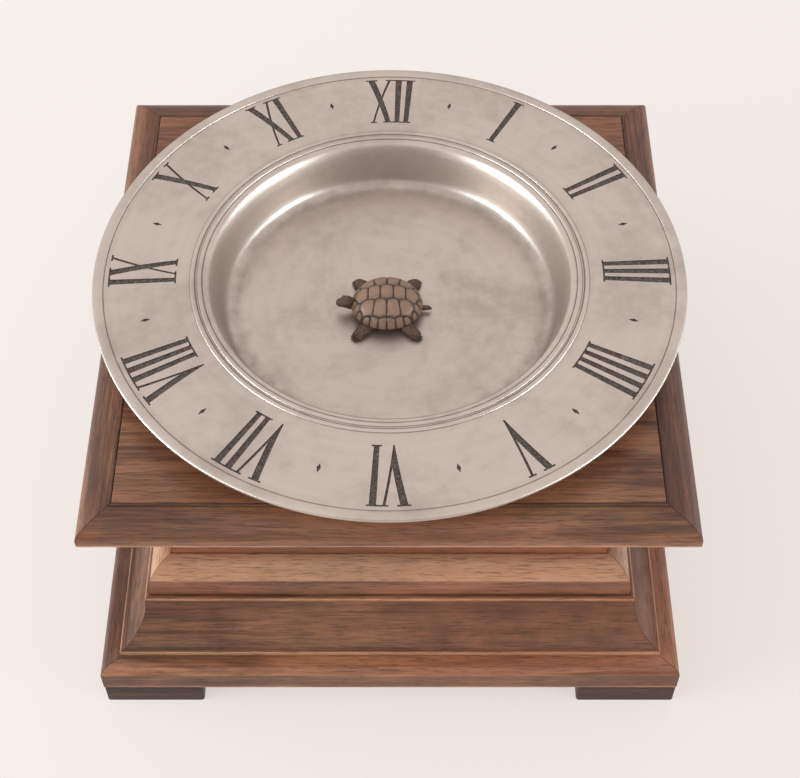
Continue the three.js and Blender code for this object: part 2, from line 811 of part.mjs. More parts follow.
function addWindingArbor() {
  const low = bottomPlateTop + endshake;
  const high = topPlateBottom - endshake;
  const squareLow = bottomPlateBottom - keyDrop - keyStemLength / 2;
  const stem = turned([
    [0, bottomPlateBottom - ratchetDrop],
    [windingPivotRadius, bottomPlateBottom - ratchetDrop],
    [windingPivotRadius, low],
    [windingArborRadius, low],
    [windingArborRadius, high],
    [windingPivotRadius, high],
    [windingPivotRadius, topPlateTop],
    [0, topPlateTop],
  ], holeFaces);
  const half = windingSquare / 2;
  const square = prism(rectanglePoints(half, half), squareLow, bottomPlateBottom - endshake);
  add('winding_arbor', union(stem, square), steel, barrelPlace);
}

const squareHole = (low, high) =>
  prism(rectanglePoints(windingSquare / 2 + seam, windingSquare / 2 + seam), low, high);

function addRatchet() {
  const high = bottomPlateBottom - ratchetDrop;
  const low = high - ratchetThickness;
  const pitch = (2 * Math.PI) / ratchetTeeth;
  const points = Array.from({ length: ratchetTeeth }, (_, i) => [
    stepFrom(centre, ratchetRootRadius, i * pitch),
    stepFrom(centre, ratchetRadius, i * pitch),
  ]).flat();
  const wheel = prism(points, low, high);
  add('ratchet_wheel', without(wheel, squareHole(low - overrun, high + overrun)), steel, barrelPlace);
  addClick(low, high);
}

// The click points at the ratchet from its stud, and its spring bears on its outer edge
function addClick(low, high) {
  const towards = clickTurn + Math.PI;
  const tip = stepFrom([clickDistance, 0], ratchetRadius + runningGap, Math.PI - clickTipTurn);
  const along = Math.atan2(tip[1], tip[0]);
  const beside = along - Math.PI / 2;
  const reach = Math.hypot(...tip);
  const outline = [
    stepFrom(centre, -clickHubRadius * clickInnerShare, beside),
    tip,
    stepFrom(tip, clickTipWidth, beside),
    stepFrom(centre, clickHubRadius, beside),
  ];
  const hub = cylinder(clickHubRadius, low, high, drumFaces / 2);
  const bore = cylinder(arborRadius + runningGap, low - overrun, high + overrun, holeFaces);
  add('click', without(union(prism(outline, low, high), hub), bore), steel, clickPlace, towards);
  const placeAt = (forward, outward) => stepFrom(stepFrom(centre, forward, along), outward, beside);
  const edge = clickHubRadius + ((clickTipWidth - clickHubRadius) * clickSpringBearing) / reach;
  const bearing = placeAt(clickSpringBearing, edge + runningGap + clickSpringThickness / 2);
  const end = placeAt(-clickSpringReach, clickSpringOffset);
  const strip = prism(barPoints(bearing, end, clickSpringThickness), low, high);
  const anchor = cylinder(clickSpringFoot, low, bottomPlateBottom - seam, holeFaces, end);
  add('click_spring', union(strip, anchor), blued, clickPlace, towards);
}

function addKey() {
  const stemHigh = bottomPlateBottom - keyDrop;
  const stemLow = stemHigh - keyStemLength;
  const stem = cylinder(keyStemRadius, stemLow, stemHigh, drumFaces / 2);
  const wingPlaces = [-1, 1].map((side) => [side * (keyWidth - keyHeight) / 2, 0]);
  const wings = wingPlaces.map((place) =>
    cylinder(keyHeight / 2, -keyThickness / 2, keyThickness / 2, drumFaces / 2, place));
  const holes = wingPlaces.map((place) =>
    cylinder(keyHoleRadius, -keyThickness, keyThickness, holeFaces, place));
  const upright = without(union(...wings), ...holes)
    .rotate([90, 0, 0])
    .translate([0, 0, stemLow - keyHeight / 2 + keyThickness]);
  const socket = squareHole(stemLow + keyStemLength / 2 - overrun, stemHigh + overrun);
  add('winding_key', without(union(stem, upright), socket), steel, barrelPlace);
}

// Going train

function addGoingTrain() {
  addCentreWheel();
  const third = trainWheel(thirdTeeth, thirdModule, fourthTurn, thirdWheelRise);
  const thirdLeaves = pinion(thirdPinionLeaves, centreModule, thirdTurn + Math.PI, centreWheelRise);
  add('third_wheel', union(plateArbor(), third, thirdLeaves), brass, thirdPlace);
  const fourth = trainWheel(fourthTeeth, fourthModule, escapeTurn, fourthWheelRise);
  const fourthLeaves = pinion(fourthPinionLeaves, thirdModule, fourthTurn + Math.PI, thirdWheelRise);
  add('fourth_wheel', union(plateArbor(), fourth, fourthLeaves), brass, fourthPlace);
  addEscapeWheel();
}

// A pinion whose middle is level with the wheel that drives it
function pinion(leaves, module, wheelDirection, wheelRise) {
  const low = bottomPlateTop + wheelRise + wheelThickness / 2 - pinionLength / 2;
  return prism(pinionPoints(leaves, module, wheelDirection), low, low + pinionLength);
}

const trainWheel = (teeth, module, direction, rise) =>
  spokedWheel(teeth, module, direction, bottomPlateTop + rise);

// The centre wheel turns on the centre arbor, which a friction grip carries round with it
function addCentreWheel() {
  const low = bottomPlateTop + barrelRise - endshake;
  const wheelLow = bottomPlateTop + centreWheelRise;
  const toothHigh = low + 2 * wheelThickness + 3 * endshake;
  const leaves = prism(pinionPoints(centrePinionLeaves, barrelModule, barrelTurn), low, toothHigh);
  const tube = cylinder(collarRadius, low, bottomPlateTop + centreTubeRise, holeFaces);
  const wheel = spokedWheel(centreTeeth, centreModule, thirdTurn, wheelLow);
  const bore = cylinder(centreArborRadius + runningGap, low - overrun, topPlateBottom, holeFaces);
  add('centre_wheel', without(union(leaves, tube, wheel), bore), brass);
}

function addEscapeWheel() {
  const low = bottomPlateTop + escapeWheelRise;
  const pitch = (2 * Math.PI) / escapeTeeth;
  const depth = escapeRadius - escapeRootRadius;
  const tooth = (i) => escapeToothShares.map(([round, out]) =>
    stepFrom(centre, escapeRootRadius + out * depth, (i + round) * pitch));
  const points = Array.from({ length: escapeTeeth }, (_, i) => tooth(i)).flat();
  const rim = escapeRootRadius - wheelThickness;
  const plain = prism(points, low, low + wheelThickness);
  const cuts = crossings(collarRadius, rim, 4, wheelThickness, low, low + wheelThickness);
  const wheel = without(plain, ...cuts);
  const leaves = pinion(escapePinionLeaves, fourthModule, escapeTurn + Math.PI, fourthWheelRise);
  add('escape_wheel', union(plateArbor(), wheel, leaves), brass, escapePlace);
}

// Escapement

// The lever lies along +X from its arbor to the balance, with its two pin pallets behind it
function addLever() {
  const low = bottomPlateTop + escapeWheelRise;
  const high = low + wheelThickness;
  const palletDistance = escapeRadius + palletClearance + palletRadius;
  const forkEnd = leverLength - rollerRadius + forkDepth / 2;
  const tail = prism(barPoints(centre, [forkEnd, 0], leverWidth), low, high);
  const arms = [-1, 1].flatMap((side) => {
    const pallet = stepFrom([-leverDistance, 0], palletDistance, side * palletSpan);
    return [
      prism(barPoints(centre, pallet, palletRadius), low, high),
      cylinder(palletRadius, low, high, arborFaces, pallet),
    ];
  });
  const opening = rectanglePoints(forkDepth / 2, forkOpening / 2, [forkEnd, 0]);
  const notch = prism(opening, low - overrun, high + overrun);
  const hub = cylinder(leverHubRadius, low, high, holeFaces);
  const lever = without(union(plateArbor(), hub, tail, ...arms), notch);
  add('pallet_lever', lever, steel, leverPlace, leverTurn);
}

function addBalance() {
  const low = balanceLow;
  const high = low + balanceThickness;
  const rimOutside = cylinder(balanceRadius, low, high, drumFaces);
  const rimRadius = balanceRadius - balanceRimWidth;
  const rimInside = cylinder(rimRadius, low - overrun, high + overrun, drumFaces);
  const armLength = balanceRadius - balanceRimWidth / 2;
  const arm = prism(rectanglePoints(armLength, balanceArmWidth / 2), low, high);
  const staff = turned([
    [0, balanceFloor],
    [pivotRadius, balanceFloor],
    [pivotRadius, balanceFloor + cockThickness],
    [arborRadius, balanceFloor + cockThickness + endshake],
    [arborRadius, topPlateBottom - endshake],
    [pivotRadius, topPlateBottom - endshake],
    [pivotRadius, topPlateTop],
    [0, topPlateTop],
  ], arborFaces);
  const pinTop = bottomPlateTop + escapeWheelRise - endshake;
  const rollerTop = pinTop - forkOpening / 2;
  const roller = cylinder(rollerRadius, rollerTop - rollerThickness, rollerTop, holeFaces);
  const pinPlace = [-(rollerRadius - 2 * impulsePinRadius), 0];
  const pin = cylinder(impulsePinRadius, rollerTop - rollerThickness, pinTop, arborFaces, pinPlace);
  const wheel = union(without(rimOutside, rimInside), arm, staff, roller, pin);
  add('balance_wheel', wheel, brass, balancePlace, leverTurn);
}

function addHairspring() {
  const spring = spiral(hairspringOuterRadius, hairspringInnerRadius, hairspringTurns,
    hairspringThickness, hairspringLow, hairspringLow + hairspringHeight, cockTurn);
  add('hairspring', spring, blued, balancePlace);
}

function addCock() {
  const low = balanceFloor;
  const armHigh = low + cockThickness;
  const footPlace = stepFrom(centre, cockReach, cockTurn);
  const arm = prism(barPoints(centre, footPlace, cockWidth), low, armHigh);
  const foot = cylinder(cockFootRadius, low, bottomPlateBottom - seam, drumFaces / 2, footPlace);
  const round = cylinder(cockWidth / 2, low, armHigh, drumFaces / 2);
  const studReach = hairspringOuterRadius + studRadius + hairspringThickness + runningGap;
  const studPlace = stepFrom(centre, studReach, cockTurn);
  const stud = cylinder(studRadius, low, armHigh + 2 * hairspringHeight, arborFaces, studPlace);
  const hole = cylinder(pivotRadius + runningGap, low - overrun, armHigh + overrun, holeFaces);
  add('balance_cock', without(union(arm, foot, round, stud), hole), brass, balancePlace);
}

// Motion work, above the top plate

function addCentreArbor() {
  const low = bottomPlateBottom - knobDrop - knobHeight / 2;
  const high = magnetArmTop - magnetArmThickness;
  const arbor = cylinder(centreArborRadius, low, high, holeFaces);
  const cannonLow = topPlateTop + endshake;
  const leaves = pinionPoints(cannonLeaves, motionModule, minuteTurn);
  const cannon = prism(leaves, cannonLow, cannonLow + cannonHeight);
  add('centre_arbor', union(arbor, cannon), steel);
}

function addMinuteWheel() {
  const low = minuteWheelLow;
  const direction = minuteTurn + Math.PI;
  const wheel = prism(wheelPoints(minuteTeeth, motionModule, direction), low, low + wheelThickness);
  const leaves = prism(pinionPoints(minutePinionLeaves, motionModule, direction), low, minuteLeavesHigh);
  const bore = cylinder(arborRadius + runningGap, topPlateTop, minuteLeavesHigh + overrun, holeFaces);
  add('minute_wheel', without(union(wheel, leaves), bore), brass, minutePlace);
}

function addHourWheel() {
  const low = hourWheelLow;
  const wheel = prism(wheelPoints(hourTeeth, motionModule, minuteTurn), low, low + wheelThickness);
  const pipe = cylinder(hourPipeRadius, low, magnetArmTop, holeFaces);
  const boreRadius = centreArborRadius + runningGap;
  const bore = cylinder(boreRadius, topPlateTop, magnetArmTop + overrun, holeFaces);
  add('hour_wheel', without(union(wheel, pipe), bore), brass);
}

function addMagnetArm() {
  const high = magnetArmTop;
  const low = high - magnetArmThickness;
  const end = [magnetArmReach, 0];
  const tail = [-magnetArmTail, 0];
  const bar = prism(barPoints(tail, end, magnetArmWidth), low, high);
  const boss = cylinder(magnetArmBoss, low, high, drumFaces / 2);
  const pad = cylinder(magnetRadius, low, high, drumFaces / 2, end);
  const weight = cylinder(magnetRadius, low - magnetArmThickness, high, drumFaces / 2, tail);
  const bore = cylinder(hourPipeRadius + seam, low - overrun, high + overrun, holeFaces);
  add('magnet_arm', without(union(bar, boss, pad, weight), bore), brass, centre, turtleHeading);
  const magnet = cylinder(magnetRadius - seam, high + seam, high + magnetHeight, drumFaces / 2, end);
  add('drive_magnet', magnet, magnetGrey, centre, turtleHeading);
}

function addKnob() {
  const high = bottomPlateBottom - knobDrop;
  const low = high - knobHeight;
  const boreLow = high - knobHeight / 2 - seam;
  const bore = cylinder(centreArborRadius + seam, boreLow, high + overrun, holeFaces);
  const body = turned([
    [0, low],
    [knobRadius - endshake, low],
    [knobRadius, low + endshake],
    [knobRadius, high - endshake],
    [knobRadius - endshake, high],
    [0, high],
  ], drumFaces / 2);
  add('set_knob', without(body, bore), brass);
}

addFeet();
addPlinth();
addWalls();
addBaseMoulding();
addUnderCove();
addTop();
addSeatBoard();
addDish();
addTurtle();
addPlates();
addPillars();
addBarrel();
addWindingArbor();
addRatchet();
addKey();
addGoingTrain();
addLever();
addBalance();
addHairspring();
addCock();
addCentreArbor();
addMinuteWheel();
addHourWheel();
addMagnetArm();
addKnob();

export default clock;
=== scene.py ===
"""A tortoise mystery clock: an engraved pewter dish on a moulded walnut case.

A turtle in the dish's well is led round by a magnet on a spring movement inside the case.
"""

import json
import math

import bpy
from bpy.props import FloatProperty, FloatVectorProperty, IntProperty, PointerProperty
from mathutils import Matrix, Vector, noise


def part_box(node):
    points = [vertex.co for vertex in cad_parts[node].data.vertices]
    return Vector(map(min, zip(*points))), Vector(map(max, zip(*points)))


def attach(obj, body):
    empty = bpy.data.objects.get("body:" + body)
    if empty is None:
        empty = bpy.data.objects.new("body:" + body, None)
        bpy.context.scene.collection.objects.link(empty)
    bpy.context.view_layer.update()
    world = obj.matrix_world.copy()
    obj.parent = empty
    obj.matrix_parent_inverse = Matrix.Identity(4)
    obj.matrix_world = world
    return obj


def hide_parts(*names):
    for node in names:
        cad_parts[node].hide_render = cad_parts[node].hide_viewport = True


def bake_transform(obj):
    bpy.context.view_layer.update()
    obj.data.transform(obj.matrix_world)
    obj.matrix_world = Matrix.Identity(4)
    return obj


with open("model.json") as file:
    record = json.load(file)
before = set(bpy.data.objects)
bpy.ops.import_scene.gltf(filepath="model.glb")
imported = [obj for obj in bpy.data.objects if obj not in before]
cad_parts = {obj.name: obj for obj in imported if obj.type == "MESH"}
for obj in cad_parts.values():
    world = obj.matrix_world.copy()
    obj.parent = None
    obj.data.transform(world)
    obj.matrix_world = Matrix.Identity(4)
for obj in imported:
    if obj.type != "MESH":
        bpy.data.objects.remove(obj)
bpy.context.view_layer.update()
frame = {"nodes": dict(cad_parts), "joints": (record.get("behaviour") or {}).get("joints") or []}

bl_info = {
    "name": "Tortoise mystery clock",
    "version": (1, 0, 0),
    "blender": (4, 5, 0),
    "location": "3D View > Sidebar > Clock",
    "description": "Makes the case, dish, turtle and movement of a tortoise mystery clock",
    "category": "Add Mesh",
}

SIDES = ("front", "right", "back", "left")
CORNERS = ("front_left", "front_right", "back_right", "back_left")
QUARTER = math.pi / 2


def low(node):
    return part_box(node)[0]


def high(node):
    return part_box(node)[1]


def middle(node):
    return (low(node) + high(node)) / 2


def strip_room(node):
    """The inner face of the front strip of that name, its foot and its top."""
    return -high(f"{node}_front").y, low(f"{node}_front").z, high(f"{node}_front").z


def joint_place(body):
    return Vector(next(joint["pos_m"] for joint in frame["joints"] if joint["child"] == body))


def length(name, description, default):
    """A size that a user can change, in metres."""
    return FloatProperty(
        name=name, description=description, default=default,
        unit="LENGTH", subtype="DISTANCE", precision=4,
    )


def angle(name, description, degrees):
    return FloatProperty(
        name=name, description=description, default=math.radians(degrees),
        unit="ROTATION", subtype="ANGLE",
    )


def share(name, description, default):
    return FloatProperty(
        name=name, description=description, default=default, min=0, max=1, subtype="FACTOR",
    )


def paint(red, green, blue):
    """A colour given as it shows on a screen, from 0 to 255, in the linear values of a shader."""
    def linear(level):
        level /= 255
        return level / 12.92 if level <= 0.04045 else ((level + 0.055) / 1.055) ** 2.4
    return linear(red), linear(green), linear(blue)


def colour(name, description, *levels):
    return FloatVectorProperty(
        name=name, description=description, default=paint(*levels),
        size=3, min=0, max=1, subtype="COLOR",
    )


# Sizes and colours

class ClockSizes(bpy.types.PropertyGroup):
    """Sizes of the clock's visible pieces."""

    plinth_half: length("Plinth half width", "Middle to the plinth's face",
                        -low("plinth_rail_front").y)
    plinth_round: length("Plinth rounding", "Radius of the plinth's upper edge", 0.004)
    moulding_half: length("Base moulding half width", "Middle to the foot of the base moulding",
                          -low("base_moulding_front").y)
    # Painted shade: the plinth is darkened towards the old wax colour
    plinth_wax: share("Plinth shade", "How much painted shade darkens the plinth", 0.62)
    foot_fillet: length("Foot fillet", "Height of the upright under the cove", 0.003)
    cove_rise: length("Cove rise", "Height of the hollow in the base moulding", 0.029)
    cove_head_half: length("Cove head half width", "Middle to the top of the hollow", 0.1263)
    ovolo_half: length("Ovolo half width", "Middle to the foot of the round", 0.1236)
    ovolo_fillet: length("Ovolo fillet", "Height of the upright under the round", 0.0044)
    ovolo_head_half: length("Ovolo head half width", "Middle to the top of the round", 0.1126)
    under_half: length("Under moulding half width", "Middle to the head of the upper hollow",
                       -low("cove_moulding_front").y)
    under_foot_half: length("Under moulding foot", "Middle to the foot of the upper hollow",
                            0.1134)
    under_fillet: length("Under moulding fillet", "Height of the strip over the upper hollow",
                         0.002)
    top_half: length("Top half width", "Middle to the edge of the top",
                     -low("top_moulding_front").y)
    top_lip: length("Top lip", "How far the top's lower edge stands back", 0.0042)
    top_lip_rise: length("Top lip rise", "Height of the slope under the top's edge", 0.0036)
    top_band: length("Top band", "Height of the upright band on the top's edge", 0.0044)
    quirk_width: length("Quirk width", "Width of the groove round the top's panel", 0.0014)
    quirk_drop: length("Quirk drop", "Depth of the groove round the top's panel", 0.0008)
    # Painted shade: the groove round the panel is darkened towards the old wax colour
    quirk_dirt: share("Quirk shade", "How much painted shade darkens the groove round the panel", 0.8)
    edge_softness: length("Edge softness", "Rounding of the sharp wooden edges", 0.0007)
    # Painted shade: the hollows are darkened towards the old wax colour
    hollow_wax: share("Hollow shade", "How much painted shade darkens the hollow mouldings", 0.64)
    # Painted highlight: the base's round moulding is paled towards the handled colour
    round_wear: share("Round highlight", "How much a painted highlight pales the round moulding", 0.9)
    # Painted shade: the top's edge is darkened towards the old wax colour, standing for the
    # dish's shadow
    edge_wax: share("Edge shade", "How much painted shade darkens the edge of the top", 0.5)
    foot_softness: length("Foot softness", "Rounding of the feet's edges", 0.0012)

    shoulder_radius: length("Shoulder radius", "Middle to the edge of the well", 0.094)
    well_width: length("Well wall width", "Floor's edge to the shoulder", 0.0134)
    dish_wall: length("Dish wall", "Thickness of the dish's metal", 0.0022)
    # Tarnish film and painted shade: the well's foot is darkened towards the engraving colour
    foot_film: share("Well foot film and shade", "How much tarnish film and painted shade darken the well's foot", 0.33)
    bead_height: length("Bead height", "Height of the roll on the rim's edge", 0.0011)
    bead_width: length("Bead width", "Width of the roll on the rim's edge", 0.0054)
    reed_height: length("Reed height", "Height of the two ridges inside the numerals", 0.0007)
    reed_width: length("Reed width", "Width of each ridge", 0.0024)
    reed_gap: length("Reed gap", "Room beside each ridge", 0.0012)
    dish_faces: IntProperty(name="Dish faces", description="Facets round the dish",
                            default=240, min=48, max=720)

    numeral_foot: length("Numeral foot", "Middle to the foot of the numerals", 0.108)
    numeral_height: length("Numeral height", "Height of the numerals", 0.0342)
    thick_stroke: length("Thick stroke", "Width of a numeral's thick strokes", 0.003)
    thin_stroke: length("Thin stroke", "Width of a numeral's thin strokes", 0.0012)
    serif_height: length("Serif height", "Height of the serifs", 0.0009)
    serif_reach: length("Serif reach", "How far a serif passes its stroke", 0.0012)
    engraving_depth: length("Engraving depth", "Depth of the cut numerals", 0.00045)
    half_hour_length: length("Half-hour length", "Length of the marks between the numerals",
                             0.0052)
    half_hour_width: length("Half-hour width", "Width of the marks between the numerals",
                            0.0024)

    turtle_voxel: length("Turtle fineness", "Grid on which the turtle's skin is formed",
                         0.00042)
    scute_groove: length("Scute groove", "Depth of the grooves between the shell's plates",
                         0.0005)
    scute_swell: length("Scute swell", "How far each plate of the shell swells out", 0.0005)
    shell_wall: length("Shell wall", "Thickness of the shell", 0.0013)
    claw_length: length("Claw length", "Length of the turtle's claws", 0.0017)

    screw_radius: length("Plate screw radius", "Radius of the screw heads on the movement",
                         0.0029)
    small_screw_radius: length("Small screw radius", "Radius of the click spring's screw head",
                               0.0019)
    screw_height: length("Screw height", "Height of the screw heads on the movement", 0.0016)
    screw_slack: length("Screw slack", "Room between the click and its screw's head", 0.0001)
    upper_plate_face: length("Upper plate face", "Height of the top plate's upper side",
                             high("third_wheel").z)
    lower_plate_face: length("Lower plate face", "Height of the bottom plate's lower side",
                             low("third_wheel").z)
    spring_thickness: length("Spring thickness", "Thickness of the click's spring", 0.0006)
    spring_post_radius: length("Spring post radius", "Radius of the post of the click's spring",
                               0.002)
    knurl_depth: length("Knurl depth", "Depth of the grip lines on the setting knob", 0.0003)
    knob_bore: length("Knob bore", "Radius of the hole in the setting knob", 0.0017)
    wood_screw_radius: length("Wood screw radius", "Radius of the screws under the case",
                              0.0035)
    camera_distance: length("Camera distance", "Camera to the middle of the clock", 0.896)
    camera_height: angle("Camera height", "Angle that the camera looks down at", 52.791)


class ClockColours(bpy.types.PropertyGroup):
    """Colours of the clock's finishes."""

    walnut_light: colour("Walnut light", "Pale part of the walnut's grain", 162, 108, 76)
    walnut_dark: colour("Walnut dark", "Dark part of the walnut's grain", 86, 50, 34)
    walnut_heart: colour("Walnut heart", "Reddish patches of the walnut", 132, 72, 50)
    walnut_pore: colour("Walnut pores", "Fine dark lines in the grain", 46, 28, 20)
    foot_light: colour("Foot light", "Pale part of the dark feet's grain", 84, 58, 48)
    foot_dark: colour("Foot dark", "Dark part of the dark feet's grain", 44, 29, 25)
    # Also the colour of the painted highlight on the base's round moulding
    handled: colour("Handled walnut", "Walnut paled by handling and sun", 200, 152, 118)
    # Also the colour of the painted shade in the hollows, on the plinth, the ledge, the top's
    # edge and the groove round the panel
    wax: colour("Old wax", "Dirt and wax in inner corners, and painted shade", 50, 29, 19)
    pewter: colour("Pewter", "Clean pewter", 209, 194, 184)
    tarnish: colour("Tarnish", "Dull film on the pewter", 170, 156, 146)
    engraving: colour("Engraving fill", "Dark fill in the cut numerals", 100, 91, 84)
    shell_horn: colour("Shell horn", "Plates of the turtle's shell", 130, 102, 84)
    shell_seam: colour("Shell seam", "Grooves of the turtle's shell", 52, 38, 33)
    turtle_skin: colour("Turtle skin", "Head and legs of the turtle", 108, 80, 64)
    turtle_claw: colour("Turtle claw", "Claws of the turtle", 60, 48, 40)
    brass: colour("Brass", "Plates and wheels of the movement", 214, 176, 104)
    brass_shade: colour("Brass shade", "Aged patches of the brass", 168, 128, 70)
    steel: colour("Steel", "Arbors, key and click", 186, 188, 192)
    blued_steel: colour("Blued steel", "Springs", 52, 72, 128)
    nickel: colour("Nickel", "Plating of the magnets", 168, 168, 166)
    # Painted shade: the floor is a little darker in front of the clock
    floor_near: colour("Near floor", "Floor in front of the clock, with painted shade", 240, 230, 223)
    floor_far: colour("Far floor", "Floor behind the clock", 246, 240, 237)


# Finishes

class Level:
    """A number that varies over a surface: an expression on levels adds its Math nodes."""

    def __init__(self, finish, socket):
        self.finish = finish
        self.socket = socket

    def joined(self, operation, first, second):
        return self.finish.node(
            "ShaderNodeMath", {"operation": operation}, {0: first, 1: second})

    def __add__(self, other):
        return self.joined("ADD", self, other)

    __radd__ = __add__

    def __sub__(self, other):
        return self.joined("SUBTRACT", self, other)

    def __rsub__(self, other):
        return self.joined("SUBTRACT", other, self)

    def __mul__(self, other):
        return self.joined("MULTIPLY", self, other)

    __rmul__ = __mul__

    def __pow__(self, other):
        return self.joined("POWER", self, other)


class Finish:
    """A material, and the nodes that give it its colour, sheen and relief."""

    def __init__(self, material):
        self.material = material
        self.material.use_nodes = True
        self.tree = self.material.node_tree
        self.tree.nodes.clear()

    def node(self, kind, settings=None, sockets=None, output=0):
        """Adds a node with its settings, then its sockets' values or links."""
        made = self.tree.nodes.new(kind)
        for name, value in (settings or {}).items():
            setattr(made, name, value)
        for name, value in (sockets or {}).items():
            socket = made.inputs[name]
            if isinstance(value, Level):
                self.tree.links.new(value.socket, socket)
            else:
                socket.default_value = (*value, 1.0) if socket.type == "RGBA" else value
        return Level(self, made.outputs[output]) if made.outputs else None

    def place(self):
        """Where a point is on the piece, in metres."""
        return self.node("ShaderNodeTexCoord", output="Object")

    def wear(self):
        """1 on worn outer edges and -1 in dirty inner ones. On the wooden mouldings and the
        well's foot it also carries painted shade below 0, and on the base's round a painted
        highlight above 0.
        """
        return self.node("ShaderNodeAttribute", {"attribute_name": "wear"}, output="Fac")

    def parts(self, vector):
        made = self.node("ShaderNodeSeparateXYZ", None, {0: vector})
        return [Level(self, socket) for socket in made.socket.node.outputs]

    def times(self, vector, factors):
        return self.node("ShaderNodeVectorMath", {"operation": "MULTIPLY"},
                         {0: vector, 1: factors})

    def minus(self, vector, other):
        return self.node("ShaderNodeVectorMath", {"operation": "SUBTRACT"},
                         {0: vector, 1: other})

    def turned(self, vector, turn):
        return self.node("ShaderNodeVectorRotate", {"rotation_type": "Z_AXIS"},
                         {"Vector": vector, "Angle": turn})

    def grain(self, vector, scale, detail=2.0, roughness=0.5, distortion=0.0):
        """Cloudy noise, with about as many grains in a metre as the scale says."""
        return self.node("ShaderNodeTexNoise", None, {
            "Vector": vector, "Scale": scale, "Detail": detail,
            "Roughness": roughness, "Distortion": distortion})

    def rings(self, radius, scale, detail=2.0):
        """Rings of noise round the point that the radius is measured from."""
        return self.node("ShaderNodeTexNoise", {"noise_dimensions": "1D"}, {
            "W": radius, "Scale": scale, "Detail": detail})

    def cells(self, vector, scale):
        return self.node("ShaderNodeTexVoronoi", None, {"Vector": vector, "Scale": scale},
                         "Distance")

    def ease(self, value, start, end, low=0.0, high=1.0):
        """Goes smoothly from low to high as the value goes from start to end."""
        return self.node("ShaderNodeMapRange", {"interpolation_type": "SMOOTHSTEP"}, {
            "Value": value, "From Min": start, "From Max": end, "To Min": low, "To Max": high})

    def mix(self, factor, first, second):
        """A colour between the first, at 0, and the second, at 1."""
        return self.node("ShaderNodeMix", {"data_type": "RGBA"},
                         {0: factor, 6: first, 7: second}, 2)

    def relief(self, height, depth):
        """Fine relief from a height of 0 to 1, as deep as the depth in metres."""
        return self.node("ShaderNodeBump", None, {"Height": height, "Distance": depth})

    def surface(self, **sockets):
        """The shader itself, with underscores for the spaces in its sockets' names."""
        shader = self.node("ShaderNodeBsdfPrincipled", None, {
            name.replace("_", " "): value for name, value in sockets.items()})
        self.node("ShaderNodeOutputMaterial", None, {"Surface": shader})
        return self.material


def finish(build, *facts, kind=""):
    """The material that the function builds, made the first time that it is asked for."""
    title = "_".join(filter(None, (build.__name__, kind, "finish")))
    made = bpy.data.materials.get(title)
    if not made:
        blank = Finish(bpy.data.materials.new(title))
        made = build(blank, bpy.context.scene.clock_colours, *facts)
    return made


def shaded(tone, factor):
    """The colour made lighter or darker."""
    return [min(1, level * factor) for level in tone]


def wood(made, light, dark, heart, colours, along, spread, polish):
    """Walnut: broad figure, streaks and pores that run along the piece, under a wax polish."""
    def run(shrink):
        return [shrink if axis == along else 1.0 for axis in range(3)]
    place = made.place()
    drift = made.grain(place, 9.0, 3.0)
    broad = made.grain(made.times(place, run(0.16)), 26.0, 3.0, 0.55, 1.4)
    streaks = made.grain(made.times(place, run(0.05)), 210.0, 5.0, 0.62, 0.5)
    lines = made.grain(made.times(place, run(0.035)), 640.0, 3.0, 0.65, 0.3)
    pores = made.grain(made.times(place, run(0.05)), 1900.0, 2.0, 0.6)
    tone = made.ease(broad * 0.42 + streaks * 0.3 + lines * 0.28 + (drift - 0.5) * 0.14,
                     0.5 - spread, 0.5 + spread)
    pore = made.ease(pores, 0.54, 0.66)
    wear = made.wear()
    patches = made.grain(place, 60.0, 3.0, 0.6)
    uneven = (patches - 0.5) * 0.7
    # Worn: real wear on outer corners, and the painted highlight on the base's round moulding
    worn = made.ease(wear + uneven, 0.1, 1.1)
    # Dirt and painted shade: wax in inner corners, and painted shade in the hollows, on the
    # plinth, the ledge, the top's edge and the groove round the panel
    dirt_and_shade = made.ease(uneven - wear, 0.1, 1.1)
    body = made.mix(tone, dark, light)
    body = made.mix(made.ease(drift, 0.44, 0.62) * 0.4, body, heart)
    body = made.mix(worn * 0.6, body, colours.handled)
    body = made.mix(pore * 0.55, body, colours.walnut_pore)
    body = made.mix(dirt_and_shade * 0.8, body, colours.wax)
    height = streaks * 0.35 - pore * 0.65 + patches * 0.2
    return made.surface(
        Base_Color=body,
        Roughness=0.46 - polish * 0.16 + streaks * 0.16 + pore * 0.2 + dirt_and_shade * 0.2 - worn * 0.06,
        Coat_Weight=made.ease(patches, 0.3, 0.75, 0.12, 0.45) * (1 - dirt_and_shade) * polish,
        Coat_Roughness=0.32,
        Specular_IOR_Level=0.25 + polish * 0.15,
        Normal=made.relief(height, 0.00011),
    )


def walnut(made, colours, along):
    return wood(made, colours.walnut_light, colours.walnut_dark, colours.walnut_heart,
                colours, along, 0.12, 1.0)


def walnut_along(axis):
    """Walnut whose grain runs along X, for 0, or along Y, for 1."""
    return finish(walnut, axis, kind="xy"[axis])


def dark_walnut(made, colours):
    return wood(made, colours.foot_light, colours.foot_dark, colours.foot_dark,
                colours, 0, 0.16, 0.15)


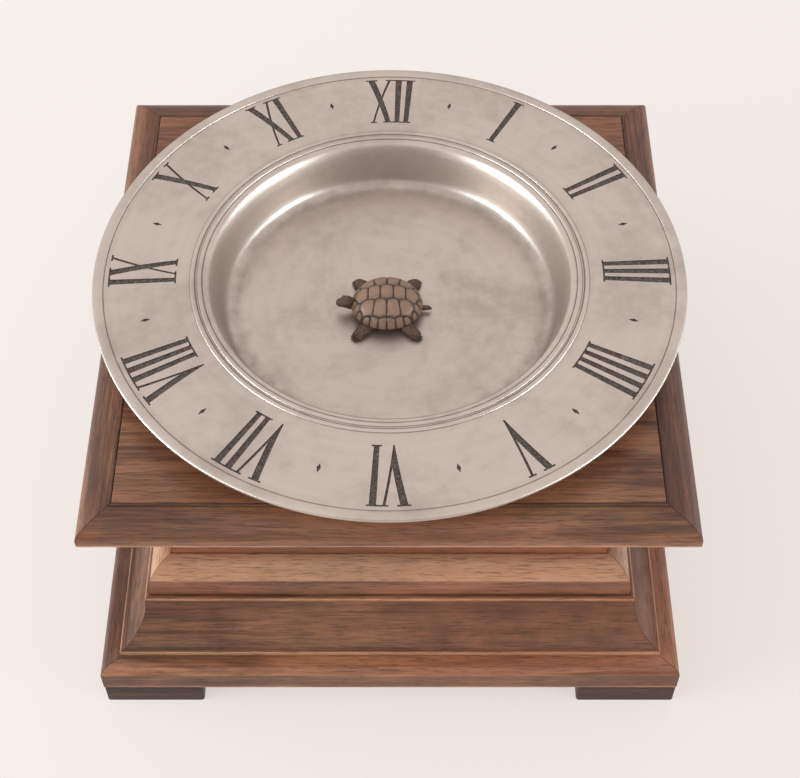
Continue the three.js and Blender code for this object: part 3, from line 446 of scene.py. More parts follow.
def pewter(made, colours):
    """Turned and hand-polished pewter with a thin film of tarnish, deeper in its grooves, and
    painted shade at the well's foot.
    """
    place = made.place()
    across, ahead, _ = made.parts(place)
    radius = (across * across + ahead * ahead) ** 0.5
    turning = made.rings(radius, 2600.0, 3.0)
    sweeps = made.rings(radius, 240.0)
    clouds = made.grain(place, 17.0, 5.0, 0.62, 0.6)
    mottle = made.grain(place, 130.0, 4.0, 0.6)
    scratch = sum(
        made.ease(made.grain(made.times(made.turned(place, turn), (30.0, 700.0, 30.0)), 1.0),
                  0.64, 0.74)
        for turn in (0.35, 1.4, 2.5))
    wear = made.wear()
    worn = made.ease(wear, 0.2, 1.0)
    # Dirt and shade: tarnish in corners and grooves, and at the well's foot also painted shade
    dirt_and_shade = made.ease(wear * -1.0 * (mottle + 0.6), 0.1, 0.9)
    film = made.ease(clouds * 0.7 + mottle * 0.3, 0.4, 0.66)
    body = made.mix(film * 0.55, colours.pewter, colours.tarnish)
    body = made.mix(sweeps * 0.22, body, colours.tarnish)
    body = made.mix(dirt_and_shade * 0.8, body, colours.engraving)
    height = turning * 0.5 + mottle * 0.35 + clouds * 0.5 - scratch * 0.3
    return made.surface(
        Base_Color=body,
        Metallic=0.85 - dirt_and_shade * 0.5,
        Roughness=0.33 + film * 0.13 + turning * 0.06 + scratch * 0.04
        + dirt_and_shade * 0.2 - worn * 0.05,
        Specular_IOR_Level=0.5,
        Specular_Tint=(0.44, 0.42, 0.4),
        Normal=made.relief(height, 0.00007),
    )


def engraving(made, colours):
    """Dark wax in the cut numerals, worn to bare metal in places."""
    place = made.place()
    crumbs = made.grain(place, 900.0, 4.0, 0.65)
    patches = made.grain(place, 110.0, 4.0, 0.6)
    bare = made.ease(patches, 0.6, 0.74)
    tone = made.mix(made.ease(crumbs, 0.3, 0.7), colours.engraving, colours.wax)
    return made.surface(
        Base_Color=made.mix(bare * 0.4, tone, colours.tarnish),
        Metallic=bare * 0.5,
        Roughness=0.55 + crumbs * 0.2,
        Normal=made.relief(crumbs, 0.00012),
    )


def shell_horn(made, colours):
    """The shell's painted plates, darker towards their seams, with growth lines."""
    place = made.place()
    wear = made.wear()
    seam = made.ease(wear * -1.0, 0.05, 0.9)
    crown = made.ease(wear, 0.1, 1.0)
    mottle = made.grain(place, 420.0, 4.0, 0.62, 0.6)
    fine = made.grain(place, 1900.0, 3.0)
    tone = made.ease(mottle * 0.6 + crown * 0.4, 0.25, 0.75)
    body = made.mix(tone, shaded(colours.shell_horn, 0.62), shaded(colours.shell_horn, 1.25))
    return made.surface(
        Base_Color=made.mix(seam, body, colours.shell_seam),
        Roughness=0.36 + mottle * 0.22 + seam * 0.2,
        Coat_Weight=0.25 - seam * 0.2,
        Coat_Roughness=0.2,
        Normal=made.relief(mottle * 0.5 + fine * 0.5, 0.00012),
    )


def turtle_skin(made, colours):
    """Painted skin with small scales."""
    place = made.place()
    scales = made.cells(place, 1100.0)
    gaps = made.ease(scales, 0.25, 0.6)
    mottle = made.grain(place, 330.0, 3.0, 0.6)
    body = made.mix(made.ease(mottle, 0.3, 0.7), shaded(colours.turtle_skin, 0.6),
                    shaded(colours.turtle_skin, 1.2))
    return made.surface(
        Base_Color=made.mix(gaps * 0.5, body, colours.shell_seam),
        Roughness=0.45 + gaps * 0.2,
        Normal=made.relief(1 - scales, 0.00018),
    )


def horn(made, colours):
    streak = made.grain(made.place(), 1200.0)
    return made.surface(
        Base_Color=made.mix(streak, colours.turtle_claw, colours.shell_seam),
        Roughness=0.3 + streak * 0.2,
        Normal=made.relief(streak, 0.00005),
    )


def eye(made, colours):
    film = made.grain(made.place(), 900.0)
    return made.surface(
        Base_Color=made.mix(film * 0.3, (0.012, 0.009, 0.008), colours.shell_seam),
        Roughness=0.08 + film * 0.1,
        Coat_Weight=1.0,
        Coat_Roughness=0.05,
    )


def lined_metal(made, tone, shade, lines, shine):
    """Metal with fine tool lines, aged patches and faint smears."""
    place = made.place()
    clouds = made.grain(place, 55.0, 4.0, 0.6, 0.5)
    specks = made.grain(place, 700.0)
    aged = made.ease(clouds * 0.75 + specks * 0.25, 0.42, 0.68)
    return made.surface(
        Base_Color=made.mix(aged * 0.6, tone, shade),
        Metallic=1.0,
        Roughness=shine + aged * 0.14 + lines * 0.1,
        Normal=made.relief(lines * 0.7 + specks * 0.3, 0.00003),
    )


def straight_lines(made, turn):
    place = made.turned(made.place(), turn)
    return made.grain(made.times(place, (25.0, 1400.0, 1400.0)), 1.0, 3.0)


def drawn_metal(made, tone, darkening, turn, shine):
    """Metal with straight tool lines."""
    return lined_metal(made, tone, shaded(tone, darkening), straight_lines(made, turn), shine)


def round_lines(made, centre):
    across, ahead, _ = made.parts(made.minus(made.place(), centre))
    return made.rings((across * across + ahead * ahead) ** 0.5, 3200.0, 3.0)


def plate_brass(made, colours):
    return lined_metal(made, colours.brass, colours.brass_shade, straight_lines(made, 0.5), 0.2)


def turned_brass(made, colours, centre):
    return lined_metal(made, colours.brass, colours.brass_shade, round_lines(made, centre), 0.2)


def steel(made, colours):
    return drawn_metal(made, colours.steel, 0.72, 1.2, 0.2)


def blued_steel(made, colours):
    return drawn_metal(made, colours.blued_steel, 0.5, 0.2, 0.16)


def nickel(made, colours):
    return drawn_metal(made, colours.nickel, 0.7, 0.8, 0.22)


# Forms

# Edges that bend more than the first show as edges, and less than the second aren't corners
SOFT_CREASE, SLIGHT_BEND = math.radians(34), math.radians(25)
CORNER_WEAR = 0.75


class Form:
    """Points, faces and wear of a piece, before it becomes a mesh."""

    def __init__(self, points=(), faces=(), wear=None):
        self.points = [Vector(point) for point in points]
        self.faces = [tuple(face) for face in faces]
        self.wear = list(wear) if wear else [0.0] * len(self.points)

    def add(self, other):
        """Puts another form in with this one."""
        start = len(self.points)
        self.points += other.points
        self.faces += [tuple(start + i for i in face) for face in other.faces]
        self.wear += other.wear
        return self

    def moved(self, matrix):
        self.points = [matrix @ point for point in self.points]
        return self

    def placed(self, name, material=None, crease=SOFT_CREASE):
        """The form as an object in the scene."""
        mesh = bpy.data.meshes.new(name)
        mesh.from_pydata(self.points, [], self.faces)
        mesh.attributes.new("wear", "FLOAT", "POINT").data.foreach_set("value", self.wear)
        if material:
            mesh.materials.append(material)
        soften(mesh, crease)
        made = bpy.data.objects.new(name, mesh)
        bpy.context.scene.collection.objects.link(made)
        return made


def soften(mesh, crease=SOFT_CREASE):
    """Smooth shading, apart from edges that bend more than the crease."""
    mesh.shade_smooth()
    mesh.set_sharp_from_angle(angle=crease)
    mesh.update()


def make(name, form, material, body, slot, *stands_for, crease=SOFT_CREASE):
    """A piece in its place, with what it moves with, its finish and what it stands for."""
    piece = form.placed(name, material, crease)
    if body:
        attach(piece, body)
    if stands_for:
        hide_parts(*stands_for)
    return piece


def finished_mesh(piece):
    """Takes the piece's modifiers into its own mesh."""
    bpy.context.view_layer.update()
    graph = bpy.context.evaluated_depsgraph_get()
    made = bpy.data.meshes.new_from_object(piece.evaluated_get(graph))
    made.name = piece.name
    piece.modifiers.clear()
    piece.data = made
    soften(made)


def carve(piece, form, material=None):
    """Cuts the form out of the piece, and gives the cut faces the material."""
    cutter = form.placed("cutter", material)
    cut = piece.modifiers.new("cut", "BOOLEAN")
    cut.operation = "DIFFERENCE"
    cut.solver = "EXACT"
    cut.material_mode = "TRANSFER"
    cut.object = cutter
    finished_mesh(piece)
    bpy.data.objects.remove(cutter)


def arc(centre, half_width, half_height, start, end, steps):
    """Points on part of an ellipse, with its angles in quarter turns."""
    x, y = centre
    turns = [QUARTER * (start + (end - start) * i / steps) for i in range(steps + 1)]
    return [(x + half_width * math.cos(t), y + half_height * math.sin(t)) for t in turns]


def softened(outline, radius, closed=True, steps=4):
    """The outline with its outer corners rounded, as rows of across, up and wear.

    It runs anticlockwise. Outer corners are worn and inner corners have wear -1, and both
    fade out along the straights beside them.
    """
    rows, flank, most_of_side = [], 2.2 * radius, 0.4
    count = len(outline)
    for i, corner in enumerate(outline):
        here = Vector(corner)
        if not closed and i in (0, count - 1):
            rows.append((here.x, here.y, 0.0))
            continue
        back = Vector(outline[i - 1]) - here
        ahead = Vector(outline[(i + 1) % count]) - here
        if math.pi - back.angle(ahead) < SLIGHT_BEND:
            rows.append((here.x, here.y, 0.0))
            continue
        reach = min(radius, most_of_side * back.length, most_of_side * ahead.length)
        first = here + back.normalized() * reach
        last = here + ahead.normalized() * reach
        if back.length > 2.5 * flank:
            rows.append((*(first + back.normalized() * flank), 0.0))
        outer = back.cross(ahead) < 0
        if outer:
            for step in range(steps + 1):
                t = step / steps
                point = first * (1 - t) ** 2 + here * 2 * t * (1 - t) + last * t ** 2
                rows.append((point.x, point.y, CORNER_WEAR))
        else:
            rows.append((here.x, here.y, -1.0))
        if ahead.length > 2.5 * flank:
            rows.append((*(last + ahead.normalized() * flank), 0.0))
    return rows


def ring_faces(rings):
    """Faces between rings of point numbers, where a ring on the axis repeats its one point."""
    faces = []
    for below, above in zip(rings, rings[1:]):
        for i in range(len(below)):
            j = (i + 1) % len(below)
            corners = [below[i], below[j], above[j], above[i]]
            faces.append([c for n, c in enumerate(corners) if c != corners[n - 1]])
    return faces


def tube_faces(count, rows=1):
    """Faces round a straight tube of so many corners and rows, and on its two ends."""
    faces = [[row * count + i, row * count + (i + 1) % count,
              (row + 1) * count + (i + 1) % count, (row + 1) * count + i]
             for row in range(rows) for i in range(count)]
    return faces + [list(range(count))[::-1], [rows * count + i for i in range(count)]]


def turned_form(rows, count):
    """A form turned about Z from rows of radius, height and wear that end on the axis."""
    points, wear, rings = [], [], []
    for radius, height, worn in rows:
        around = count if radius > 1e-7 else 1
        rings.append([len(points) + i % around for i in range(count)])
        for i in range(around):
            turn = 2 * math.pi * i / count
            points.append((radius * math.cos(turn), radius * math.sin(turn), height))
            wear.append(worn)
    return Form(points, ring_faces(rings), wear)


def strip_form(rows, turn):
    """A strip of the case with mitred ends, from rows of half width, height and wear."""
    mitre_gap = 0.00014
    points = [(side * (half - mitre_gap), -half, height)
              for side in (-1, 1) for half, height, _ in rows]
    form = Form(points, [face[::-1] for face in tube_faces(len(rows))],
                [worn for _, _, worn in rows] * 2)
    return form.moved(Matrix.Rotation(turn, 4, "Z"))


def add_frame(name, node, rows):
    """The same mitred strip on the case's four sides."""
    for i, side in enumerate(SIDES):
        make(f"{name}_{side}", strip_form(rows, i * QUARTER), walnut_along(i % 2),
             "case", "walnut", f"{node}_{side}")


def dress(node, material, round_over=0.0):
    """Gives a node its finish, smooth turned faces and softened edges."""
    piece = frame["nodes"][node]
    mesh = piece.data
    mesh.materials.clear()
    mesh.materials.append(material)
    mesh.polygons.foreach_set("material_index", [0] * len(mesh.polygons))
    mesh.polygons.foreach_set("use_smooth", [True] * len(mesh.polygons))
    weld = piece.modifiers.new("joined", "WELD")
    weld.merge_threshold = 1e-6
    if round_over:
        bevel = piece.modifiers.new("edges", "BEVEL")
        bevel.width = round_over
        bevel.segments = 2
        bevel.limit_method = "ANGLE"
        bevel.angle_limit = math.radians(40)
        bevel.use_clamp_overlap = True
    split = piece.modifiers.new("creases", "EDGE_SPLIT")
    split.split_angle = SOFT_CREASE
    piece.modifiers.new("shading", "WEIGHTED_NORMAL").weight = 50


def egg(centre, half, turn=0.0, rows=16, around=24):
    """A whole ellipsoid, longest along its own X and turned about Z."""
    profile = [(math.sin(math.pi * i / rows), -math.cos(math.pi * i / rows), 0.0)
               for i in range(rows + 1)]
    form = turned_form([(abs(r) if 0 < i < rows else 0, z, w)
                        for i, (r, z, w) in enumerate(profile)], around)
    size = Matrix.Diagonal((*half, 1))
    return form.moved(Matrix.Translation(centre) @ Matrix.Rotation(turn, 4, "Z") @ size)


# Case

class CLOCK_OT_plinth(bpy.types.Operator):
    """Makes the plinth's four mitred rails"""

    bl_idname = "clock.plinth"
    bl_label = "Plinth"

    def execute(self, context):
        s = context.scene.clock_sizes
        inner, foot, top = strip_room("plinth_rail")
        half, radius, round_wear = s.plinth_half, s.plinth_round, 0.1
        edge = arc((half - radius, top - radius), radius, radius, 0, 1, 10)
        outline = [(inner, foot), (half, foot), *edge, (inner, top)]
        # The round is slightly paled, and the rest of the rail is darkened with painted shade,
        # apart from its worn and dirty corners
        add_frame("plinth", "plinth_rail", [
            (a, z, round_wear if a > half - radius and z > top - radius else
             worn or -s.plinth_wax)
            for a, z, worn in softened(outline, s.edge_softness)])
        return {"FINISHED"}


class CLOCK_OT_base_moulding(bpy.types.Operator):
    """Makes the hollow and round of the base moulding"""

    bl_idname = "clock.base_moulding"
    bl_label = "Base moulding"

    def execute(self, context):
        s = context.scene.clock_sizes
        inner, foot, top = strip_room("base_moulding")
        cove_foot = foot + s.foot_fillet
        ledge = cove_foot + s.cove_rise
        ovolo_foot = ledge + s.ovolo_fillet
        cove = arc((s.moulding_half, ledge), s.moulding_half - s.cove_head_half,
                   s.cove_rise, 3, 2, 22)
        ovolo = arc((s.ovolo_head_half, ovolo_foot), s.ovolo_half - s.ovolo_head_half,
                    top - ovolo_foot, 0, 1, 16)
        outline = [(inner, foot), (s.moulding_half, foot), *cove, (s.ovolo_half, ledge),
                   *ovolo, (inner, top)]
        # The hollow and the ledge are darkened with painted shade, and the upper part of the
        # round is paled as a painted highlight
        pale_foot, ledge_shade = ovolo_foot + (top - ovolo_foot) * 0.4, 0.3
        add_frame("base_profile", "base_moulding", [
            (a, z, worn or (-s.hollow_wax if cove_foot < z < ledge else
                            s.round_wear if z > pale_foot else -ledge_shade))
            for a, z, worn in softened(outline, s.edge_softness)])
        return {"FINISHED"}


class CLOCK_OT_under_moulding(bpy.types.Operator):
    """Makes the hollow moulding under the top"""

    bl_idname = "clock.under_moulding"
    bl_label = "Under moulding"

    def execute(self, context):
        s = context.scene.clock_sizes
        inner, foot, top = strip_room("cove_moulding")
        cove = arc((s.under_half, foot), s.under_half - s.under_foot_half,
                   top - foot - s.under_fillet, 2, 1, 20)
        outline = [(inner, foot), *cove, (s.under_half, top), (inner, top)]
        # The hollow is darkened with painted shade, apart from its worn and dirty corners
        add_frame("under_profile", "cove_moulding", [
            (a, z, worn or -s.hollow_wax)
            for a, z, worn in softened(outline, s.edge_softness)])
        return {"FINISHED"}


class CLOCK_OT_top_moulding(bpy.types.Operator):
    """Makes the rounded edge of the top"""

    bl_idname = "clock.top_moulding"
    bl_label = "Top moulding"

    def execute(self, context):
        s = context.scene.clock_sizes
        inner, foot, top = strip_room("top_moulding")
        band_foot = foot + s.top_lip_rise
        band_top = band_foot + s.top_band
        head = inner + s.quirk_width
        ovolo = arc((head, band_top), s.top_half - head, top - s.quirk_drop - band_top,
                    0, 1, 18)
        outline = [(inner, foot), (s.top_half - s.top_lip, foot), (s.top_half, band_foot),
                   *ovolo, (head, top), (inner, top)]
        # The groove and the edge are darkened with painted shade, apart from the edge's worn and
        # dirty corners
        add_frame("top_profile", "top_moulding", [
            (a, z, -s.quirk_dirt if a < head + s.edge_softness else worn or -s.edge_wax)
            for a, z, worn in softened(outline, s.edge_softness)])
        return {"FINISHED"}


class CLOCK_OT_boards(bpy.types.Operator):
    """Finishes the walls, the boards and the dark feet"""

    bl_idname = "clock.boards"
    bl_label = "Boards and feet"

    def execute(self, context):
        s = context.scene.clock_sizes
        for i, side in enumerate(SIDES):
            dress(f"wall_{side}", walnut_along(i % 2))
        for node in ("top_board", "seat_board", "bottom_board"):
            dress(node, walnut_along(0), s.edge_softness / 2)
        for corner in CORNERS:
            dress(f"foot_{corner}", finish(dark_walnut), s.foot_softness)
        return {"FINISHED"}


# Dish

# The well's wall, as shares of its width and height, out and up from the floor's edge
WELL_SHARES = (
    (-0.12, 0), (0.13, 0.02), (0.3, 0.09), (0.43, 0.22), (0.56, 0.47), (0.66, 0.7),
    (0.76, 0.87), (0.87, 0.97), (1, 1),
)


def flowing(points, steps):
    """A smooth curve through the points."""
    made = []
    last = len(points) - 1
    for i in range(last):
        p0, p1 = Vector(points[max(i - 1, 0)]), Vector(points[i])
        p2, p3 = Vector(points[i + 1]), Vector(points[min(i + 2, last)])
        for step in range(steps):
            t = step / steps
            made.append(0.5 * (2 * p1 + (p2 - p0) * t + (2 * p0 - 5 * p1 + 4 * p2 - p3) * t ** 2
                               + (3 * p1 - p0 - 3 * p2 + p3) * t ** 3))
    made.append(Vector(points[last]))
    return made


def dish_rows(s):
    """The dish's section from the middle of its underside out and back over its top."""
    foot, top = low("dish").z, high("dish").z
    radius = high("dish").x
    floor = foot + s.dish_wall
    face = top - s.bead_height
    floor_radius = s.shoulder_radius - s.well_width
    well = flowing([(floor_radius + out * s.well_width, floor + up * (face - floor))
                    for out, up in WELL_SHARES], 4)
    under = []
    for i, point in enumerate(well):
        run = (well[min(i + 1, len(well) - 1)] - well[max(i - 1, 0)]).normalized()
        ends = i in (0, len(well) - 1)
        off = Vector((0, -1)) if ends else Vector((run.y, -run.x))
        under.append(point + off * s.dish_wall)
    rows = [(0, foot, 0.0), (floor_radius / 2, foot, 0.0)]
    rows += [(p.x, p.y, 0.0) for p in under]
    edge, chamfer, fade = face - s.dish_wall, 0.0004, 0.0007
    rows += [(radius - s.bead_height, edge, 0.6), (radius - chamfer, edge + chamfer, 1.0)]
    bead_steps, reed_steps = 14, 8
    bead = arc((radius - s.bead_width / 2, face), s.bead_width / 2, s.bead_height,
               0, 2, bead_steps)
    rows += [(r, z, 1.0 if 3 < i < bead_steps - 3 else 0.3)
             for i, (r, z) in enumerate(bead[:-1])]
    rows += [(*bead[-1], -1.0), (bead[-1][0] - fade, face, 0.0)]
    for start in (s.shoulder_radius + 2 * s.reed_gap + s.reed_width,
                  s.shoulder_radius + s.reed_gap):
        reed = arc((start + s.reed_width / 2, face), s.reed_width / 2, s.reed_height,
                   0, 2, reed_steps)
        rows.append((reed[0][0] + fade / 2, face, 0.0))
        rows += [(r, z, -1.0 if i in (0, reed_steps) else 0.6)
                 for i, (r, z) in enumerate(reed)]
    # The well's foot and the edge of its floor get the tarnish film and painted shade
    film_and_shade_top, shoulder_wear, shoulder_rows = floor + (face - floor) * 0.1, 0.25, 3
    rows += [(p.x, p.y, shoulder_wear if n < shoulder_rows else
              -s.foot_film if p.y < film_and_shade_top else 0.0)
             for n, p in enumerate(reversed(well))]
    rows += [(floor_radius * out, floor, -s.foot_film * film)
             for out, film in ((0.94, 0.5), (0.85, 0), (0.5, 0), (0.25, 0))]
    rows.append((0, floor, 0.0))
    return rows


def crossing(a, b, c, d):
    """Where the line from a to b meets the line from c to d."""
    a, b, c, d = map(Vector, (a, b, c, d))
    ahead, beside = b - a, d - c
    return a + ahead * ((c - a).cross(beside) / ahead.cross(beside))


# Widths as multiples of a thick stroke: one that slants, and the letters V and X
SLANTED, FIVE_WIDTH, TEN_WIDTH = 1.08, 3.5, 3.64
# The gap between letters as a share of a serif's reach
GAP_SHARE = 0.1
# The radius at which a letter keeps its width, as a share of the radius of its foot
BEND_SHARE = 1.15


def serif(s, start, end, up):
    """Outline of the serif on a stroke, from one side of its neck to the other."""
    reach = math.copysign(s.serif_reach, end - start)
    neck, tip = ((s.numeral_height - s.serif_height, s.numeral_height) if up else
                 (s.serif_height, 0))
    return [(start, neck), (start - reach, neck), (start - reach, tip),
            (end + reach, tip), (end + reach, neck), (end, neck)]


def one_outline(s):
    half = s.thick_stroke / 2
    return serif(s, -half, half, False) + serif(s, half, -half, True)


def five_outline(s):
    half = (s.thick_stroke * FIVE_WIDTH - s.serif_reach * GAP_SHARE) / 2
    thick, thin, tip = s.thick_stroke * SLANTED, s.thin_stroke, s.thin_stroke / 3
    head = s.numeral_height - s.serif_height
    notch = crossing((thick - half, head), (thick - tip, 0), (half - thin, head), (tip - thin, 0))
    return [(-tip, 0), (tip, 0), *serif(s, half, half - thin, True), notch,
            *serif(s, thick - half, -half, True)]


def ten_outline(s):
    half = s.thick_stroke * TEN_WIDTH / 2
    thick, thin = s.thick_stroke * SLANTED, s.thin_stroke
    foot, head = s.serif_height, s.numeral_height - s.serif_height
    thick_left = (-half, head), (half - thick, foot)
    thick_right = (thick - half, head), (half, foot)
    thin_left = (half - thin, head), (-half, foot)
    thin_right = (half, head), (thin - half, foot)
    return [
        *serif(s, -half, thin - half, False), crossing(*thin_right, *thick_left),
        *serif(s, half - thick, half, False), crossing(*thick_right, *thin_right),
        *serif(s, half, half - thin, True), crossing(*thick_right, *thin_left),
        *serif(s, thick - half, -half, True), crossing(*thick_left, *thin_left),
    ]


NUMERALS = ("XII", "I", "II", "III", "IIII", "V", "VI", "VII", "VIII", "IX", "X", "XI")
GLYPHS = {"I": one_outline, "V": five_outline, "X": ten_outline}


def glyph_form(outline, shift, hour_turn, foot_radius, low_z, high_z):
    """A cutter for one letter, bent round the dish at its hour."""
    longest_straight = 0.004
    path = []
    for a, b in zip(outline, outline[1:] + outline[:1]):
        a, b = Vector(a), Vector(b)
        steps = max(1, math.ceil((b - a).length / longest_straight))
        path += [a + (b - a) * step / steps for step in range(steps)]
    points = []
    for height in (low_z, high_z):
        for x, y in path:
            turn = hour_turn - (x + shift) / (foot_radius * BEND_SHARE)
            radius = foot_radius + y
            points.append((radius * math.cos(turn), radius * math.sin(turn), height))
    return Form(points, tube_faces(len(path)))


def numerals_form(s, face):
    """Cutters for the twelve numerals, which stand with their feet to the middle."""
    cutters = Form()
    low_z, high_z = face - s.engraving_depth, face + s.engraving_depth
    gap = s.serif_reach * GAP_SHARE
    for hour, text in enumerate(NUMERALS):
        turn = QUARTER - hour * QUARTER / 3
        outlines = [GLYPHS[letter](s) for letter in text]
        widths = [max(x for x, _ in outline) - min(x for x, _ in outline) + gap
                  for outline in outlines]
        start = -sum(widths) / 2
        for outline, width in zip(outlines, widths):
            cutters.add(glyph_form(outline, start + width / 2, turn, s.numeral_foot,
                                   low_z, high_z))
            start += width
        wide, tall = s.half_hour_width / 2, s.half_hour_length / 2
        mark = [(0, -tall), (wide, 0), (0, tall), (-wide, 0)]
        cutters.add(glyph_form(mark, 0, turn - QUARTER / 6,
                               s.numeral_foot + s.numeral_height / 2, low_z, high_z))
    return cutters


class CLOCK_OT_dish(bpy.types.Operator):
    """Turns the pewter dish and cuts its numerals"""

    bl_idname = "clock.dish"
    bl_label = "Dish"

    def execute(self, context):
        s = context.scene.clock_sizes
        dish = make("engraved_dish", turned_form(dish_rows(s), s.dish_faces), finish(pewter),
                    "dish", "pewter", "dish")
        carve(dish, numerals_form(s, high("dish").z - s.bead_height), finish(engraving))
        return {"FINISHED"}


# Turtle

def turtle_matrix():
    """From the turtle's own frame, facing along X on the well's floor, to its place."""
    shell = middle("turtle_shell")
    place = Matrix.Translation((shell.x, shell.y, low("turtle_body").z))
    return place @ Matrix.Rotation(math.pi, 4, "Z")


# Middle and half sizes of the rounded parts of the turtle, which faces along X
TRUNK = (0, 0, 0.0042), (0.0176, 0.0156, 0.0036)
NECK = (0.0165, 0, 0.0055), (0.0062, 0.0031, 0.0027)
HEAD = (0.0206, 0, 0.0073), (0.0043, 0.0034, 0.003)
SNOUT = (0.0234, 0, 0.0068), (0.0029, 0.0025, 0.0022)
TAIL_ROOT = (-0.0185, 0, 0.0026), (0.0046, 0.0015, 0.0014)
TAIL_TIP = (-0.0213, 0, 0.0019), (0.0022, 0.0008, 0.0008)
BROW = (0.0219, 0.0022, 0.0085), (0.0013, 0.0009, 0.0009)
EYE = (0.0223, 0.0027, 0.0083), (0.00075, 0.0006, 0.0007)
# Height and half sizes of the parts of each leg, and how far out they are
LEG, FOOT = (0.0024, (0.0068, 0.0034, 0.0025)), (0.0013, (0.0024, 0.0032, 0.0014))
LEG_SIDES = ((1, 1), (1, -1), (-1, 1), (-1, -1))
LEG_REACH, LEG_SPREAD, LEG_TURN, FOOT_REACH = 0.0115, 0.0142, 0.75, 0.0046


def pair(place, half, **counts):
    """An ellipsoid on each side of the turtle."""
    x, y, z = place
    form = Form()
    for side in (-1, 1):
        form.add(egg((x, side * y, z), half, **counts))
    return form


def way(turn):
    """The level direction at that turn from X."""
    return Vector((math.cos(turn), math.sin(turn), 0))


def leg_facts(ahead, beside):
    """A leg's middle and the way that it points."""
    turn = ahead * beside * LEG_TURN
    heading = turn if ahead > 0 else turn + math.pi
    return Vector((ahead * LEG_REACH, beside * LEG_SPREAD, 0)), heading, turn


class CLOCK_OT_turtle_body(bpy.types.Operator):
    """Models the turtle's head, legs and tail as one skin"""

    bl_idname = "clock.turtle_body"
    bl_label = "Turtle body"

    def execute(self, context):
        s = context.scene.clock_sizes
        form = egg(*TRUNK, rows=20, around=40)
        for part in (NECK, HEAD, SNOUT):
            form.add(egg(*part))
        form.add(pair(*BROW))
        for ahead, beside in LEG_SIDES:
            spot, heading, turn = leg_facts(ahead, beside)
            for reach, (rise, half) in ((0, LEG), (FOOT_REACH, FOOT)):
                form.add(egg(spot + way(heading) * reach + Vector((0, 0, rise)), half, turn))
        for part in (TAIL_ROOT, TAIL_TIP):
            form.add(egg(*part))
        skin = finish(turtle_skin)
        body = make("turtle_skin_body", form, skin, "turtle", "turtle", "turtle_body")
        remesh = body.modifiers.new("skin", "REMESH")
        remesh.mode = "VOXEL"
        remesh.voxel_size = s.turtle_voxel
        smooth = body.modifiers.new("smooth", "SMOOTH")
        smooth.factor = 0.5
        smooth.iterations = 5
        finished_mesh(body)
        fold_scale, fold_depth = 900.0, 0.00016
        normals = [vertex.normal.copy() for vertex in body.data.vertices]
        for vertex, normal in zip(body.data.vertices, normals):
            vertex.co += normal * noise.noise(vertex.co * fold_scale) * fold_depth
            vertex.co.z = max(vertex.co.z, 0.0)
        body.data.transform(turtle_matrix())
        slack, overrun = 0.0002, 0.002
        spot = middle("turtle_magnet")
        spot.z = low("turtle_body").z
        radius = high("turtle_magnet").x - spot.x + slack
        height = high("turtle_magnet").z - spot.z + slack
        pocket = turned_form([(0, -overrun, 0), (radius, -overrun, 0), (radius, height, 0),
                              (0, height, 0)], 40)
        carve(body, pocket.moved(Matrix.Translation(spot)), skin)
        return {"FINISHED"}


class CLOCK_OT_turtle_features(bpy.types.Operator):
    """Makes the turtle's eyes and claws"""

    bl_idname = "clock.turtle_features"
    bl_label = "Turtle eyes and claws"

    def execute(self, context):
        s = context.scene.clock_sizes
        eyes = pair(*EYE, rows=10, around=16)
        make("turtle_eyes", eyes.moved(turtle_matrix()), finish(eye), "turtle", "turtle")
        claws = Form()
        long = s.claw_length
        profile = [(0, 0, 0), (0.0005, 0.0001, 0), (0.00042, 0.4 * long, 0),
                   (0.00024, 0.8 * long, 0), (0, long, 0)]
        fan, toe_reach, rise, droop = 0.34, 0.0022, 0.0011, 0.12
        lay = Matrix.Rotation(QUARTER * (1 + droop), 4, "Y")
        for ahead, beside in LEG_SIDES:
            spot, heading, _ = leg_facts(ahead, beside)
            count = 5 if ahead > 0 else 4
            for i in range(count):
                aim = heading + (i - (count - 1) / 2) * fan
                root = spot + way(heading) * FOOT_REACH + way(aim) * toe_reach
                root.z = rise
                claws.add(turned_form(profile, 10).moved(
                    Matrix.Translation(root) @ Matrix.Rotation(aim, 4, "Z") @ lay))
        make("turtle_claws", claws.moved(turtle_matrix()), finish(horn), "turtle", "turtle")
        return {"FINISHED"}


def scute_centres():
    """Middles of the shell's plates, as shares of its half sizes, and how far each yields."""
    spine = [(x, 0.0, 0.0) for x in (0.70, 0.37, 0.0, -0.37, -0.70)]
    ribs = [(x, side * y, 0.0) for side in (-1, 1)
            for x, y in ((0.55, 0.52), (0.19, 0.57), (-0.19, 0.57), (-0.55, 0.52))]
    edge_count, edge_yield = 24, 0.11
    edge = [(math.cos(turn), math.sin(turn), edge_yield)
            for turn in ((i + 0.5) * 2 * math.pi / edge_count for i in range(edge_count))]
    return [(Vector((x, y)), yielding) for x, y, yielding in spine + ribs + edge]


def scute_place(x, y, centres):
    """How far the point is from its plate's middle and from the next plate."""
    found = sorted((Vector((x, y)) - centre).length + yielding
                   for centre, yielding in centres)
    return found[0], found[1] - found[0]


def scute_relief(s, near, edge):
    """How far the shell swells there, and its wear: the plates swell between their grooves."""
    groove_width, plate_reach = 0.055, 0.34
    line_pitch, line_share, faint = 62, 0.08, 0.02
    groove = 1 - min(1.0, edge / groove_width)
    groove = groove * groove * (3 - 2 * groove)
    swell = max(0.0, 1 - (near / plate_reach) ** 2)
    lines = math.cos(near * line_pitch) * line_share * (1 - groove)
    lift = s.scute_swell * (swell + lines) - s.scute_groove * groove
    return lift, -groove if groove > faint else swell


